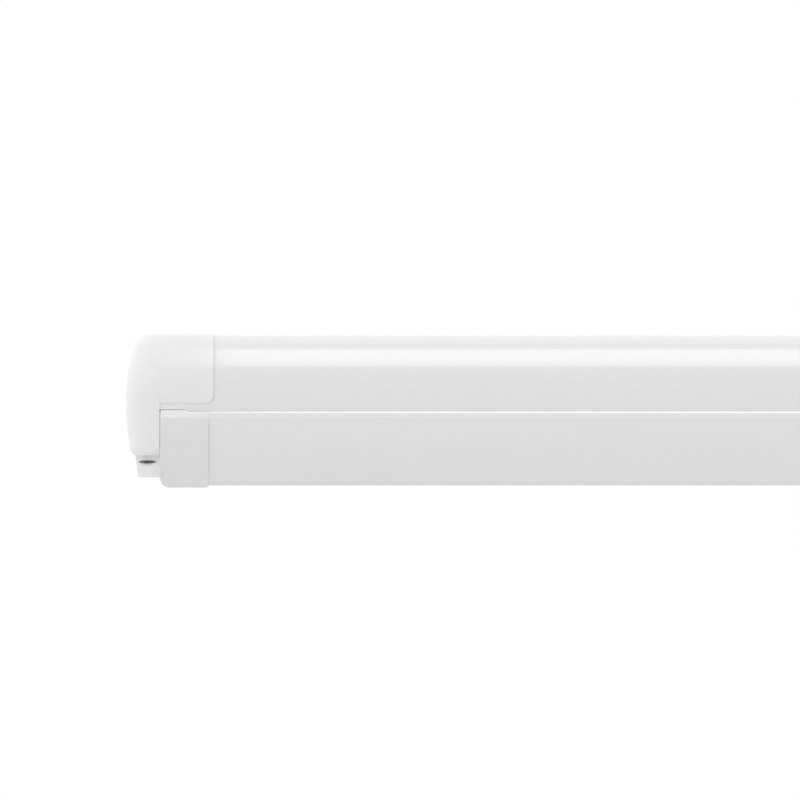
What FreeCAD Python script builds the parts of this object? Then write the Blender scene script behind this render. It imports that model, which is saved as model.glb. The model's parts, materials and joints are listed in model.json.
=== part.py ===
import FreeCAD
import Part
import math
import os

# A wall-mounted cassette awning, shut. Millimetres.
# X runs along the awning, the wall is at Y = 0, the front faces -Y and +Z is up.
# Sections are drawn as (depth, drop): depth is the distance in front of the wall, and
# drop is the distance below the top of the front cover.
# The origin is on the wall, at the middle of the wall brackets' screws.

Vec = FreeCAD.Vector
X_AXIS = Vec(1, 0, 0)
Y_AXIS = Vec(0, 1, 0)
Z_AXIS = Vec(0, 0, 1)

# Overall sizes
LENGTH = 2600.0
CASE_TOP_Z = 62.0

# Front cover: a thin curved extrusion
COVER_WALL = 2.0
COVER_REAR = 22.0
COVER_NOSE_RADIUS = 60.0
COVER_DROP = 68.6
COVER_RETURN_DROP = 65.4
COVER_RETURN_WIDTH = 8.5
SEAL_WIDTH = 5.0
SEAL_LIP = 1.5
SEAL_GAP = 0.15

# Back of the case: wall panel, top flange and sloping floor in one extrusion
CASE_BACK = 12.0
CASE_WALL = 2.2
CASE_TOP_DROP = 3.0
CASE_FLANGE_FRONT = 38.0
FLOOR_GAP = 2.6
FLOOR_INSET = 3.5
FLOOR_LIP = 4.0

# Side caps
CAP_BODY_WIDTH = 30.6
CAP_PROUD = 1.4
CAP_CROWN_RADIUS = 223.0
CAP_CROWN_DROP = 60.0
CAP_EDGE_RADIUS = 8.0
CAP_WALL = 2.6
CAP_FRONT_DROP = 109.0
CAP_FRONT_RADIUS = 10.0
CAP_REAR_RADIUS = 12.0
HOOD_WIDTH = 79.0
HOOD_DROP = 61.0
HOOD_SLANT_DROP = 26.0
SKIRT_WIDTH = 53.0
SKIRT_GAP = 0.4
CHIN_DROP = 128.3
CHIN_SETBACK = 12.0
CHIN_TOP_INSET = 8.0
CHIN_BOTTOM_INSET = 11.0
MOUTH_WIDTH = 17.6
MOUTH_HEIGHT = 5.6
MOUTH_DROP = 114.2
CAP_SCREW_PLACES = ((30.0, 18.0), (27.0, 92.0))
CAP_SCREW_RADIUS = 2.2
CAP_SCREW_HEAD_RADIUS = 4.2
CAP_SCREW_HEAD = 2.6
CAP_SCREW_RECESS = 9.0
CAP_BOSS_RADIUS = 6.6

# Roller and wound fabric
ROLLER_RADIUS = 25.0
ROLLER_WALL = 1.6
ROLLER_DEPTH = 47.0
ROLLER_DROP = 37.5
FABRIC_THICKNESS = 0.45
FABRIC_SIDE_GAP = 41.4
FABRIC_SPARE = 250.0
ROLLER_GAP = 8.0
END_PLATE_WALL = 5.0
JOURNAL_RADIUS = 8.0
BUSH_WALL = 2.0
RUNNING_GAP = 0.05

# Winch: a worm on a leaning shaft, its wheel on the roller, and the crank eye
GEAR_MODULE = 2.2
WHEEL_TEETH = 14
WORM_STARTS = 2
WORM_PITCH_RADIUS = 7.0
WORM_LENGTH = 26.0
WHEEL_WIDTH = 8.0
WORM_LEAN_DEG = 12.0
WINCH_SHAFT_RADIUS = 4.0
WINCH_INSET = 19.8
EYE_DROP = 115.5
EYE_RADIUS = 6.8
EYE_BORE_RADIUS = 4.2
EYE_THICKNESS = 6.0

# Folding arms
PITCH_DEG = 8.0
OPEN_DEG = 68.0
SHOULDER_INSET = 78.0
ELBOW_X = 135.4
SHOULDER_DROP = 98.0
ARM_REAR_GAP = 1.8
ARM_GAP = 2.0
ARM_FRONT_GAP = 3.0
ARM_WIDTH = 22.0
ARM_HEIGHT = 30.0
ARM_WALL = 1.6
ARM_CORNER = 7.0
PIN_RADIUS = 4.0
WRIST_PIN_RADIUS = 3.5
KNUCKLE_RADIUS = 10.5
ELBOW_RADIUS = 12.0
WRIST_RADIUS = 9.5
EAR_GAP = 0.3
SPIGOT = 34.0
ARM_COLLAR = 6.0
SHOULDER_REACH = 18.0
ELBOW_REACH = 24.0
WRIST_REACH = 16.0
SHOULDER_HALF = 12.0
WRIST_HALF = 9.5
ELBOW_MIDDLE = 5.5
SHOULDER_EAR = 4.0
WRIST_EAR = 3.5
PIN_HEAD = 1.6

# Lead rail
RAIL_TOP_DROP = 69.1
RAIL_BOTTOM_DROP = 135.5
RAIL_WALL = 2.0
RAIL_TOP_RADIUS = 1.5
RAIL_FOOT_RADIUS = 5.0
RAIL_BULGE = 4.6
RAIL_FACE_DROP = 98.0
RAIL_FACE_RADIUS = 118.0
RAIL_FACE_TOP_TILT_DEG = 10.0
RAIL_FACE_FOOT_TILT_DEG = 14.0
RAIL_CEILING_DROP = 92.0
RAIL_PARTITION_WALL = 1.8
RAIL_BACK_END = 133.0
RAIL_BACK_TOP = 88.0
RAIL_NECK_SETBACK = 3.6
CHANNEL_WIDTH = 17.6
RAIL_FRONT_ROOM = 8.0
BEAD_RADIUS = 3.0
BEAD_GAP = 0.2
GROOVE_WALL = 1.8
GROOVE_MOUTH = 2.4
RAIL_CAP_WIDTH = 44.0
RAIL_CAP_PROUD = 0.9
RAIL_CAP_WALL = 2.4
RAIL_CAP_CORNER = 8.5
RAIL_CAP_TOP_DROP = 67.5
RAIL_CAP_BOTTOM_DROP = 137.3

# Support legs
LEG_INSET = 104.0
LEG_HEADROOM = 18.0
LEG_WIDTH = 14.0
LEG_HEIGHT = 26.0
LEG_WALL = 1.3
LEG_LENGTH = 1150.0
LEG_KNUCKLE_RADIUS = 12.0
LEG_PIN_RADIUS = 3.5
INNER_WIDTH = 10.6
INNER_HEIGHT = 22.0
INNER_SHOW = 12.0
INNER_START = 60.0
INNER_WALL = 1.2
COLLAR_LENGTH = 44.0
COLLAR_WIDTH = 16.0
COLLAR_HEIGHT = 29.0
COLLAR_LAP = 14.0
LUG_RADIUS = 2.6
LUG_WALL = 2.5
LUG_SETBACK = 6.0
LEVER_LENGTH = 32.0
LEVER_WALL = 2.2
LEVER_AXLE_RADIUS = 1.3
FOOT_REACH = 8.0
FOOT_EAR_RADIUS = 5.5
FOOT_EAR_WALL = 3.2
FOOT_POST_HALF = 2.2
FOOT_PIN_RADIUS = 2.5
SOLE_REACH = 10.0
SOLE_WALL = 4.0
SOLE_LENGTH = 26.0
HANGER_WALL = 1.4

# Fits and small sizes
TOOTH_HEIGHT = 1.8
TOOTH_DEPTH = 2.6
ROOT_HALF = 1.9
TIP_HALF = 0.8
WINCH_BEARING_DROPS = (10.0, 57.0)
WINCH_BEARING_HALF = 4.0
EYE_SOCKET = 12.0
SOFT_GAP = 0.3
RAIL_CAP_GAP = 0.4

# Wall brackets
BRACKET_WIDTH = 80.0
BRACKET_WALL = 4.0
BRACKET_HOLE_RADIUS = 4.0
BRACKET_HOLE_SPREAD = 56.0
BRACKET_HOLE_PITCH = 50.0
BRACKET_TOP_DROP = 12.0
BRACKET_INSET = 400.0

# Places along the awning
HALF = LENGTH / 2
CAP_IN = HALF - CAP_BODY_WIDTH
SHOULDER_X = HALF - SHOULDER_INSET
LEG_PIVOT_X = HALF - LEG_INSET
BRACKET_X = HALF - BRACKET_INSET
ROLLER_END = CAP_IN - END_PLATE_WALL - ROLLER_GAP
FABRIC_WIDTH = 2 * (ROLLER_END - FABRIC_SIDE_GAP)
PITCH = math.radians(PITCH_DEG)
OPEN = math.radians(OPEN_DEG)

# Depths: the arms lie in front of the case's panel, the leg channels in front of the arms
SHOULDER_DEPTH = CASE_BACK + CASE_WALL + ARM_REAR_GAP + ARM_WIDTH / 2
ARM_STEP = (ARM_WIDTH + ARM_GAP) / 2
RAIL_BACK = SHOULDER_DEPTH + 2 * ARM_STEP + ARM_WIDTH / 2 + ARM_FRONT_GAP
RAIL_PARTITION = RAIL_BACK + RAIL_WALL + CHANNEL_WIDTH
CHANNEL_FRONT = RAIL_PARTITION + RAIL_PARTITION_WALL
CASE_DEPTH = CHANNEL_FRONT + CHANNEL_WIDTH + RAIL_FRONT_ROOM
REAR_LEG_DEPTH = RAIL_PARTITION - CHANNEL_WIDTH / 2
FRONT_LEG_DEPTH = CHANNEL_FRONT + CHANNEL_WIDTH / 2
FLOOR_FRONT = RAIL_BACK - FLOOR_INSET
RAIL_NECK = RAIL_PARTITION - RAIL_NECK_SETBACK
BEAD_DEPTH = RAIL_NECK + BEAD_RADIUS
CHIN_FRONT = CASE_DEPTH - CHIN_SETBACK
LEG_DROP = RAIL_CEILING_DROP + RAIL_WALL + LEG_HEADROOM

# Reach of the arms, and the cloth that follows them
ARM_SPAN = SHOULDER_X - ELBOW_X
EXTENSION = 2 * (ARM_SPAN * math.sin(OPEN) - ARM_STEP * (1 - math.cos(OPEN)))
FABRIC_LENGTH = EXTENSION + FABRIC_SPARE
ROLL_RADIUS = math.sqrt(ROLLER_RADIUS**2 + FABRIC_LENGTH * FABRIC_THICKNESS / math.pi)
FABRIC_FOOT_DEPTH = ROLLER_DEPTH - ROLL_RADIUS * math.sin(PITCH)
FABRIC_FOOT_DROP = ROLLER_DROP + ROLL_RADIUS * math.cos(PITCH)
BEAD_DROP = FABRIC_FOOT_DROP + (BEAD_DEPTH - FABRIC_FOOT_DEPTH) * math.tan(PITCH)
FLOOR_DROP = ARM_HEIGHT / 2 + FLOOR_GAP
WHEEL_PITCH_RADIUS = GEAR_MODULE * WHEEL_TEETH / 2
WORM_OFFSET = WHEEL_PITCH_RADIUS + WORM_PITCH_RADIUS
WINCH_X = HALF - WINCH_INSET


def place(x, depth, drop):
    """A point of the model from its place along the awning, its depth and its drop."""
    return Vec(x, -depth, CASE_TOP_Z - drop)


def rounded(points):
    """A closed wire through points (a, b, radius), each corner rounded by its radius.
    A corner's arc starts and ends one tangent length from it along its two sides."""
    corners = []
    count = len(points)
    for i, (a, b, radius) in enumerate(points):
        here = Vec(a, b, 0)
        last = Vec(points[i - 1][0], points[i - 1][1], 0)
        after = Vec(points[(i + 1) % count][0], points[(i + 1) % count][1], 0)
        to_last = (last - here).normalize()
        to_next = (after - here).normalize()
        if radius <= 0:
            corners.append((here, None, here))
            continue
        half = to_last.getAngle(to_next) / 2
        reach = radius / math.tan(half)
        bisector = (to_last + to_next).normalize()
        middle = here + bisector * (radius / math.sin(half) - radius)
        corners.append((here + to_last * reach, middle, here + to_next * reach))
    edges = []
    for i, (start, middle, end) in enumerate(corners):
        before = corners[i - 1][2]
        if before.distanceToPoint(start) > 1e-6:
            edges.append(Part.LineSegment(before, start).toShape())
        if middle is not None:
            edges.append(Part.Arc(start, middle, end).toShape())
    return Part.Wire(Part.__sortEdges__(edges))


def stand_up(flat):
    """Turns a shape drawn flat as (depth, -drop) into the cross-section plane of the case."""
    turned = flat.copy()
    turned.rotate(Vec(0, 0, 0), X_AXIS, 90)
    turned.rotate(Vec(0, 0, 0), Z_AXIS, -90)
    turned.translate(Vec(0, 0, CASE_TOP_Z))
    return turned


def section(points):
    """A face of the cross-section from corners (depth, drop, radius)."""
    return Part.Face(rounded([(depth, -drop, radius) for depth, drop, radius in points]))


def strip(depth_0, drop_0, depth_1, drop_1):
    """A rectangular face of the cross-section."""
    return section([(depth_0, drop_0, 0), (depth_1, drop_0, 0), (depth_1, drop_1, 0), (depth_0, drop_1, 0)])


def disc(depth, drop, radius):
    """A round face of the cross-section."""
    return Part.Face(Part.Wire(Part.makeCircle(radius, Vec(depth, -drop, 0))))


def joined(faces):
    """Faces of the cross-section made one."""
    whole = faces[0].fuse(faces[1:]) if len(faces) > 1 else faces[0]
    return whole.removeSplitter()


def along(face, x_0, x_1):
    """A cross-section carried along the awning from x_0 to x_1."""
    bars = [piece.extrude(Vec(x_1 - x_0, 0, 0)) for piece in stand_up(face).Faces]
    body = bars[0].fuse(bars[1:]).removeSplitter() if len(bars) > 1 else bars[0]
    body.translate(Vec(x_0, 0, 0))
    return body


def solid(shape):
    """The one clean solid of a shape, or a group of clean solids."""
    clean = shape.removeSplitter()
    if len(clean.Solids) == 1:
        return clean.Solids[0]
    return Part.makeCompound(clean.Solids)


def mirrored(shape):
    """The same piece at the other end of the awning."""
    return shape.mirror(Vec(0, 0, 0), X_AXIS)


def box(x_0, x_1, depth_0, depth_1, drop_0, drop_1):
    """A box between two places along the awning, two depths and two drops."""
    return Part.makeBox(x_1 - x_0, depth_1 - depth_0, drop_1 - drop_0, place(x_0, depth_1, drop_1))


def rod(start, end, radius):
    """A round bar between two points."""
    line = end - start
    return Part.makeCylinder(radius, line.Length, start, line)


def tube(start, end, outer, inner):
    """A round tube between two points."""
    return rod(start, end, outer).cut(rod(start, end, inner))


def drill(centre, radius):
    """An upright bar through a point and well beyond it both ways, to cut a bore with."""
    reach = Vec(0, 0, CASE_DEPTH)
    return rod(centre - reach, centre + reach, radius)


# Front cover and case


def cover_outline(grow, rear, bottom, corner=0.0):
    """The outline of the front cover's curve, moved outwards by grow."""
    nose = COVER_NOSE_RADIUS + grow
    front = CASE_DEPTH + grow
    return section([(rear, -grow, 0), (front, -grow, nose), (front, bottom, corner), (rear, bottom, 0)])


def front_cover():
    """Curved cover over the roller, with a rear hook and a bottom return for its seal."""
    skin = cover_outline(0, COVER_REAR, COVER_DROP).cut(cover_outline(-COVER_WALL, COVER_REAR, COVER_DROP))
    inner_front = CASE_DEPTH - COVER_WALL
    hook_front = CASE_FLANGE_FRONT + 2.4
    return_rear = CASE_DEPTH - COVER_RETURN_WIDTH
    flange = strip(return_rear, COVER_RETURN_DROP, inner_front + 0.5, COVER_RETURN_DROP + 1.6)
    up_turn = strip(return_rear, COVER_RETURN_DROP - 4, return_rear + 1.4, COVER_RETURN_DROP + 0.8)
    hook = strip(CASE_FLANGE_FRONT + 0.6, COVER_WALL - 0.5, hook_front, COVER_WALL + 4)
    rib = strip(COVER_REAR, 0.8, COVER_REAR + 2, CASE_TOP_DROP)
    profile = joined([skin, flange, up_turn, hook, rib])
    half = HALF - SKIRT_WIDTH
    return solid(along(profile, -half, half))


def cover_seal():
    """Rubber lip under the cover's edge, which the lead rail shuts against."""
    top = COVER_RETURN_DROP + 1.6
    front = CASE_DEPTH - COVER_WALL
    rear = front - SEAL_WIDTH
    bottom = RAIL_TOP_DROP - SEAL_GAP
    profile = section(
        [
            (rear, top, 0),
            (front, top, 0),
            (front, COVER_DROP, 0),
            (front + SEAL_LIP, COVER_DROP, 0),
            (front + SEAL_LIP, bottom, 0),
            (rear, bottom, 0.8),
        ]
    )
    half = HALF - SKIRT_WIDTH
    return solid(along(profile, -half, half))


def floor_drop(depth):
    """Drop of the floor's top face, which runs parallel to the arms' pitched plane."""
    return SHOULDER_DROP + (depth - SHOULDER_DEPTH) * math.tan(PITCH) + FLOOR_DROP / math.cos(PITCH)


def case_back():
    """Wall panel with a top flange, a sloping floor, a floor lip and a bracket hook."""
    inner = CASE_BACK + CASE_WALL
    floor_rear = floor_drop(CASE_BACK)
    floor_front = floor_drop(FLOOR_FRONT)
    panel = strip(CASE_BACK, CASE_TOP_DROP, inner, floor_rear + 1)
    top = strip(CASE_BACK, CASE_TOP_DROP, CASE_FLANGE_FRONT, CASE_TOP_DROP + CASE_WALL)
    bead = strip(CASE_FLANGE_FRONT - 2.2, COVER_WALL, CASE_FLANGE_FRONT, CASE_TOP_DROP + 0.5)
    floor_corners = [
        (CASE_BACK, floor_rear, 0),
        (FLOOR_FRONT, floor_front, 0),
        (FLOOR_FRONT, floor_front + CASE_WALL, 0),
        (CASE_BACK, floor_rear + CASE_WALL, 0),
    ]
    lip = strip(FLOOR_FRONT - CASE_WALL, floor_front, FLOOR_FRONT, floor_front + FLOOR_LIP)
    profile = joined([panel, top, bead, section(floor_corners), lip])
    return solid(along(profile, -CAP_IN, CAP_IN))


def wall_bracket():
    """Bracket on the wall: a plate with four screw holes, a top hook and a bottom ledge."""
    half = BRACKET_WIDTH / 2
    ledge_drop = floor_drop(CASE_BACK) + CASE_WALL
    ledge_end = floor_drop(CASE_BACK + 14) + CASE_WALL
    plate = strip(0, BRACKET_TOP_DROP, BRACKET_WALL, ledge_drop + 6)
    arm = strip(0, BRACKET_TOP_DROP, CASE_BACK, BRACKET_TOP_DROP + BRACKET_WALL)
    seat = strip(CASE_BACK - BRACKET_WALL, BRACKET_TOP_DROP, CASE_BACK, BRACKET_TOP_DROP + 16)
    rest = strip(CASE_BACK - BRACKET_WALL, ledge_drop - 16, CASE_BACK, ledge_drop + 2)
    ledge = section(
        [
            (0, ledge_end, 0),
            (CASE_BACK + 14, ledge_end, 0),
            (CASE_BACK + 14, ledge_end + BRACKET_WALL, 1.5),
            (0, ledge_end + BRACKET_WALL, 0),
        ]
    )
    body = along(joined([plate, arm, seat, rest, ledge]), -half, half)
    body = body.cut(box(-half, half, CASE_BACK, CASE_BACK + 20, 0, ledge_drop))
    middle = CASE_TOP_Z
    for side in (-1, 1):
        for level in (-1, 1):
            x = side * BRACKET_HOLE_SPREAD / 2
            drop = middle + level * BRACKET_HOLE_PITCH / 2
            body = body.cut(rod(place(x, -1, drop), place(x, BRACKET_WALL + 1, drop), BRACKET_HOLE_RADIUS))
    window = box(-12, 12, -1, CASE_BACK + 1, middle - 14, middle + 14)
    return solid(body.cut(window))


def wall_brackets():
    """The brackets, spread along the back of the case."""
    group = []
    for x in (-BRACKET_X, 0, BRACKET_X):
        piece = wall_bracket()
        piece.translate(Vec(x, 0, 0))
        group.append(piece)
    return group


# Side caps


def cap_region(inset):
    """Outline of a side cap seen from its end, moved inwards by inset."""
    grow = CAP_PROUD - inset
    front = CASE_DEPTH + grow
    nose = COVER_NOSE_RADIUS + grow
    return section(
        [
            (CASE_BACK + inset, -grow, CAP_REAR_RADIUS - inset),
            (front, -grow, nose),
            (front, CAP_FRONT_DROP - inset, CAP_FRONT_RADIUS - inset),
            (CASE_BACK + inset, CAP_FRONT_DROP - inset, 0),
        ]
    )


def crown(inset):
    """The bulging outer side of a cap, as a cylinder across the awning, at the left end."""
    radius = CAP_CROWN_RADIUS - inset
    centre = -HALF + CAP_CROWN_RADIUS
    return rod(place(centre, 0, CAP_CROWN_DROP), place(centre, 2 * CASE_DEPTH, CAP_CROWN_DROP), radius)


def chin(inset):
    """The tapered lower part of a cap, behind and below its front, at the left end."""
    low = CHIN_DROP - inset
    points = [
        (-HALF + CHIN_TOP_INSET + inset, -(CAP_FRONT_DROP - 6), 0),
        (-CAP_IN, -(CAP_FRONT_DROP - 6), 0),
        (-CAP_IN, -low, 0),
        (-HALF + CHIN_BOTTOM_INSET + inset, -low, 2),
    ]
    face = Part.Face(rounded(points))
    depth = CHIN_FRONT - CASE_BACK - 2 * inset
    body = face.extrude(Vec(0, 0, depth))
    body.rotate(Vec(0, 0, 0), X_AXIS, 90)
    body.translate(place(0, CASE_BACK + inset, 0))
    return body


def cap_shell():
    """Crowned outer body and chin of the left cap, hollow and open towards the case."""
    outer = along(cap_region(0), -HALF, -CAP_IN).common(crown(0))
    edges = []
    for edge in outer.Edges:
        middle = edge.CenterOfMass
        on_outside = middle.x < -HALF + 9
        at_back = abs(middle.y + CASE_BACK) < 1
        if on_outside and not at_back:
            edges.append(edge)
    outer = outer.makeFillet(CAP_EDGE_RADIUS, edges)
    inner = along(cap_region(CAP_WALL), -HALF, -CAP_IN + 1).common(crown(CAP_WALL))
    outer = outer.fuse(chin(0))
    hollow_chin = chin(CAP_WALL).common(box(-HALF, -CAP_IN, 0, 200, 0, 200))
    hollow_end = box(-CAP_IN - 1, -CAP_IN + 1, CASE_BACK + CAP_WALL, CHIN_FRONT - CAP_WALL, 90, CHIN_DROP - CAP_WALL)
    return outer.cut(inner).cut(hollow_chin).cut(hollow_end)


def front_window(points):
    """A block through the awning from its outline seen from the front, corners (x, drop, radius)."""
    face = Part.Face(rounded([(x, -drop, radius) for x, drop, radius in points]))
    block = face.extrude(Vec(0, 0, 2 * CASE_DEPTH))
    block.rotate(Vec(0, 0, 0), X_AXIS, 90)
    block.translate(place(0, 0, 0))
    return block


def hood():
    """Thin hood of the left cap: a skirt in line with the front cover, and a lap over its end."""
    skirt_end = -HALF + SKIRT_WIDTH
    hood_end = -HALF + HOOD_WIDTH
    skirt_drop = RAIL_CAP_TOP_DROP - SKIRT_GAP
    over = cover_outline(CAP_PROUD, COVER_REAR, HOOD_DROP)
    level = cover_outline(0, COVER_REAR, skirt_drop)
    under = cover_outline(-COVER_WALL, COVER_REAR - 1, skirt_drop + 1)
    near = along(joined([over, level]).cut(under), -CAP_IN - 2, skirt_end)
    far = along(over.cut(cover_outline(0, COVER_REAR - 1, skirt_drop + 1)), skirt_end, hood_end)
    window = front_window(
        [
            (skirt_end - 1, -5, 0),
            (hood_end + 3, -5, 0),
            (hood_end, HOOD_SLANT_DROP, 6),
            (hood_end, HOOD_DROP, 7),
            (skirt_end - 1, HOOD_DROP, 0),
        ]
    )
    return near.fuse(far.common(window))


def cap_screw_line(reach_in, reach_out, place_in_section, radius):
    """A bar along a cap screw's line, between two distances from the awning's end."""
    depth, drop = place_in_section
    return rod(place(-HALF + reach_in, depth, drop), place(-HALF + reach_out, depth, drop), radius)


def cap_screw(place_in_section):
    """Pan-head screw with a cross recess, through the left cap's boss into the end plate."""
    seat = CAP_SCREW_RECESS
    top = seat - CAP_SCREW_HEAD
    head = cap_screw_line(top, seat, place_in_section, CAP_SCREW_HEAD_RADIUS)
    head = head.makeFillet(CAP_SCREW_HEAD / 2, [edge for edge in head.Edges if edge.CenterOfMass.x < -HALF + top + 0.1])
    shank = cap_screw_line(seat, CAP_BODY_WIDTH + END_PLATE_WALL, place_in_section, CAP_SCREW_RADIUS)
    depth, drop = place_in_section
    for half_width, half_height in ((0.6, 2.4), (2.4, 0.6)):
        slot = box(
            -HALF, -HALF + top + 1.2, depth - half_width, depth + half_width, drop - half_height, drop + half_height
        )
        head = head.cut(slot)
    return head.fuse(shank)


def side_cap(with_winch):
    """A side cap at the left end. The winch end has a lens-shaped mouth and a pocket for the eye."""
    body = cap_shell().fuse(hood())
    inside = along(cap_region(CAP_WALL / 2), -HALF, -CAP_IN).common(crown(CAP_WALL / 2))
    for place_in_section in CAP_SCREW_PLACES:
        boss = cap_screw_line(0, CAP_BODY_WIDTH, place_in_section, CAP_BOSS_RADIUS).common(inside)
        recess = cap_screw_line(-1, CAP_SCREW_RECESS, place_in_section, CAP_SCREW_HEAD_RADIUS + 0.6)
        hole = cap_screw_line(0, CAP_BODY_WIDTH + 1, place_in_section, CAP_SCREW_RADIUS)
        body = body.fuse(boss).cut(recess).cut(hole)
    if with_winch:
        x = -WINCH_X
        half = MOUTH_WIDTH / 2
        rise = MOUTH_HEIGHT / 2
        upper = Part.Arc(Vec(x - half, -MOUTH_DROP, 0), Vec(x, -MOUTH_DROP + rise, 0), Vec(x + half, -MOUTH_DROP, 0))
        lower = Part.Arc(Vec(x + half, -MOUTH_DROP, 0), Vec(x, -MOUTH_DROP - rise, 0), Vec(x - half, -MOUTH_DROP, 0))
        lens = Part.Face(Part.Wire([upper.toShape(), lower.toShape()])).extrude(Vec(0, 0, 20))
        lens.rotate(Vec(0, 0, 0), X_AXIS, 90)
        lens.translate(place(0, CHIN_FRONT - 10, 0))
        body = body.cut(lens)
        eye = winch_point(EYE_DROP)
        body = body.cut(rod(eye, eye + Vec(0, 0, -40), EYE_RADIUS + 1.0))
    return solid(body)


# Roller, winch and end plates


def winch_axis():
    """A point on the winch shaft's axis, level with the wheel's contact, and its direction."""
    lean = math.radians(WORM_LEAN_DEG)
    depth = ROLLER_DEPTH + WORM_OFFSET * math.cos(lean)
    drop = ROLLER_DROP - WORM_OFFSET * math.sin(lean)
    return place(-WINCH_X, depth, drop), Vec(0, -math.sin(lean), -math.cos(lean))


def winch_point(drop):
    """The point of the winch shaft's axis at a drop. The axis leans forward as it goes down."""
    start, direction = winch_axis()
    return start + direction * ((drop - (CASE_TOP_Z - start.z)) / math.cos(math.radians(WORM_LEAN_DEG)))


def roller_point(x):
    """The point of the roller's axis at a place along the awning."""
    return place(x, ROLLER_DEPTH, ROLLER_DROP)


def end_plate(with_gear):
    """Plate at the left end of the case that carries the roller, with the winch's bearings."""
    x_0 = -CAP_IN
    x_1 = -CAP_IN + END_PLATE_WALL
    inner = CASE_BACK + CASE_WALL
    nose = ROLLER_DEPTH + ROLL_RADIUS
    waist = FLOOR_FRONT - 4
    corners = [
        (inner, CASE_TOP_DROP + CASE_WALL, 0),
        (nose, CASE_TOP_DROP + CASE_WALL, 24),
        (nose, BEAD_DROP - 8, 4),
        (RAIL_BACK - 1, BEAD_DROP - 8, 3),
        (waist, BEAD_DROP + 4, 6),
        (waist, floor_drop(waist), 0),
        (inner, floor_drop(inner), 0),
    ]
    plate = along(section(corners), x_0, x_1)
    if with_gear:
        for drop in WINCH_BEARING_DROPS:
            middle = winch_point(drop)
            depth = -middle.y
            half = WINCH_BEARING_HALF
            reach = box(-WINCH_X, x_0, depth - 6, depth + 6, drop - half, drop + half)
            plate = plate.fuse(reach)
            ends = winch_point(drop - half), winch_point(drop + half)
            plate = plate.fuse(rod(ends[0], ends[1], WINCH_SHAFT_RADIUS + 3.5))
        plate = plate.cut(rod(winch_point(0), winch_point(CHIN_DROP), WINCH_SHAFT_RADIUS + RUNNING_GAP))
    for place_in_section in CAP_SCREW_PLACES:
        plate = plate.cut(cap_screw_line(0, HALF, place_in_section, CAP_SCREW_RADIUS))
    seat = JOURNAL_RADIUS + RUNNING_GAP + BUSH_WALL
    return solid(plate.cut(rod(roller_point(x_0 - 40), roller_point(x_1 + 1), seat)))


def roller_bush():
    """Plain bush in the left end plate."""
    start = roller_point(-CAP_IN - 0.6)
    end = roller_point(-CAP_IN + END_PLATE_WALL + 1.2)
    bore = JOURNAL_RADIUS + RUNNING_GAP
    sleeve = tube(start, end, bore + BUSH_WALL, bore)
    collar = tube(end - Vec(1.2, 0, 0), end, bore + BUSH_WALL + 2, bore)
    return sleeve.fuse(collar)


def roller_pieces():
    """Roller tube, its end plugs and the wound fabric."""
    end = ROLLER_END
    inner = ROLLER_RADIUS - ROLLER_WALL
    body = tube(roller_point(-end), roller_point(end), ROLLER_RADIUS, inner)
    groove = box(-end, end, ROLLER_DEPTH - 1.5, ROLLER_DEPTH + 1.5, 0, ROLLER_DROP)
    groove = groove.common(tube(roller_point(-end), roller_point(end), ROLLER_RADIUS + 1, ROLLER_RADIUS - 0.8))
    wound = tube(
        roller_point(-FABRIC_WIDTH / 2), roller_point(FABRIC_WIDTH / 2), ROLL_RADIUS, ROLLER_RADIUS
    )
    plug = rod(roller_point(-end), roller_point(-end + 24), inner)
    plug = plug.fuse(rod(roller_point(-end - 2.5), roller_point(-end), ROLLER_RADIUS))
    for turn in range(6):
        slot = box(-end + 3, -end + 30, ROLLER_DEPTH - 3, ROLLER_DEPTH + 3, ROLLER_DROP - inner - 2, ROLLER_DROP - 13)
        slot.rotate(roller_point(0), X_AXIS, 60 * turn)
        plug = plug.cut(slot)
    left = plug.fuse(rod(roller_point(-end - 2.5), roller_point(-WINCH_X - WHEEL_WIDTH / 2 - 3), JOURNAL_RADIUS))
    right = plug.fuse(rod(roller_point(-end - 2.5), roller_point(-CAP_IN - 1.5), JOURNAL_RADIUS))
    return {
        "roller_tube": solid(body.cut(groove)),
        "fabric_roll": wound,
        "roller_plug_left": solid(left),
        "roller_plug_right": mirrored(solid(right)),
    }


def worm_wheel():
    """Wheel on the roller's left journal. Its straight-sided teeth twist by the worm's lead angle."""
    pitch = math.pi * GEAR_MODULE
    twist = WHEEL_WIDTH * WORM_STARTS * pitch / (2 * math.pi * WORM_PITCH_RADIUS) / WHEEL_PITCH_RADIUS
    root = WHEEL_PITCH_RADIUS - TOOTH_DEPTH
    tip = WHEEL_PITCH_RADIUS + TOOTH_HEIGHT
    step = 2 * math.pi / WHEEL_TEETH
    contact = math.radians(WORM_LEAN_DEG)
    outlines = []
    for side in (-1, 1):
        points = []
        for tooth in range(WHEEL_TEETH):
            middle = (tooth + 0.5) * step + contact - side * twist / 2
            for half, radius in ((-ROOT_HALF, root), (-TIP_HALF, tip), (TIP_HALF, tip), (ROOT_HALF, root)):
                angle = middle + half / WHEEL_PITCH_RADIUS
                x = -WINCH_X + side * WHEEL_WIDTH / 2
                points.append(place(x, ROLLER_DEPTH + radius * math.cos(angle), ROLLER_DROP - radius * math.sin(angle)))
        outlines.append(Part.makePolygon(points + points[:1]))
    body = Part.makeLoft(outlines, True, True)
    x_0 = -WINCH_X - WHEEL_WIDTH / 2
    hub = rod(roller_point(x_0 - 1.5), roller_point(x_0 + WHEEL_WIDTH + 1.5), JOURNAL_RADIUS + 3)
    bore = rod(roller_point(x_0 - 9), roller_point(x_0 + WHEEL_WIDTH + 9), JOURNAL_RADIUS)
    return solid(body.fuse(hub).cut(bore))


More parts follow.
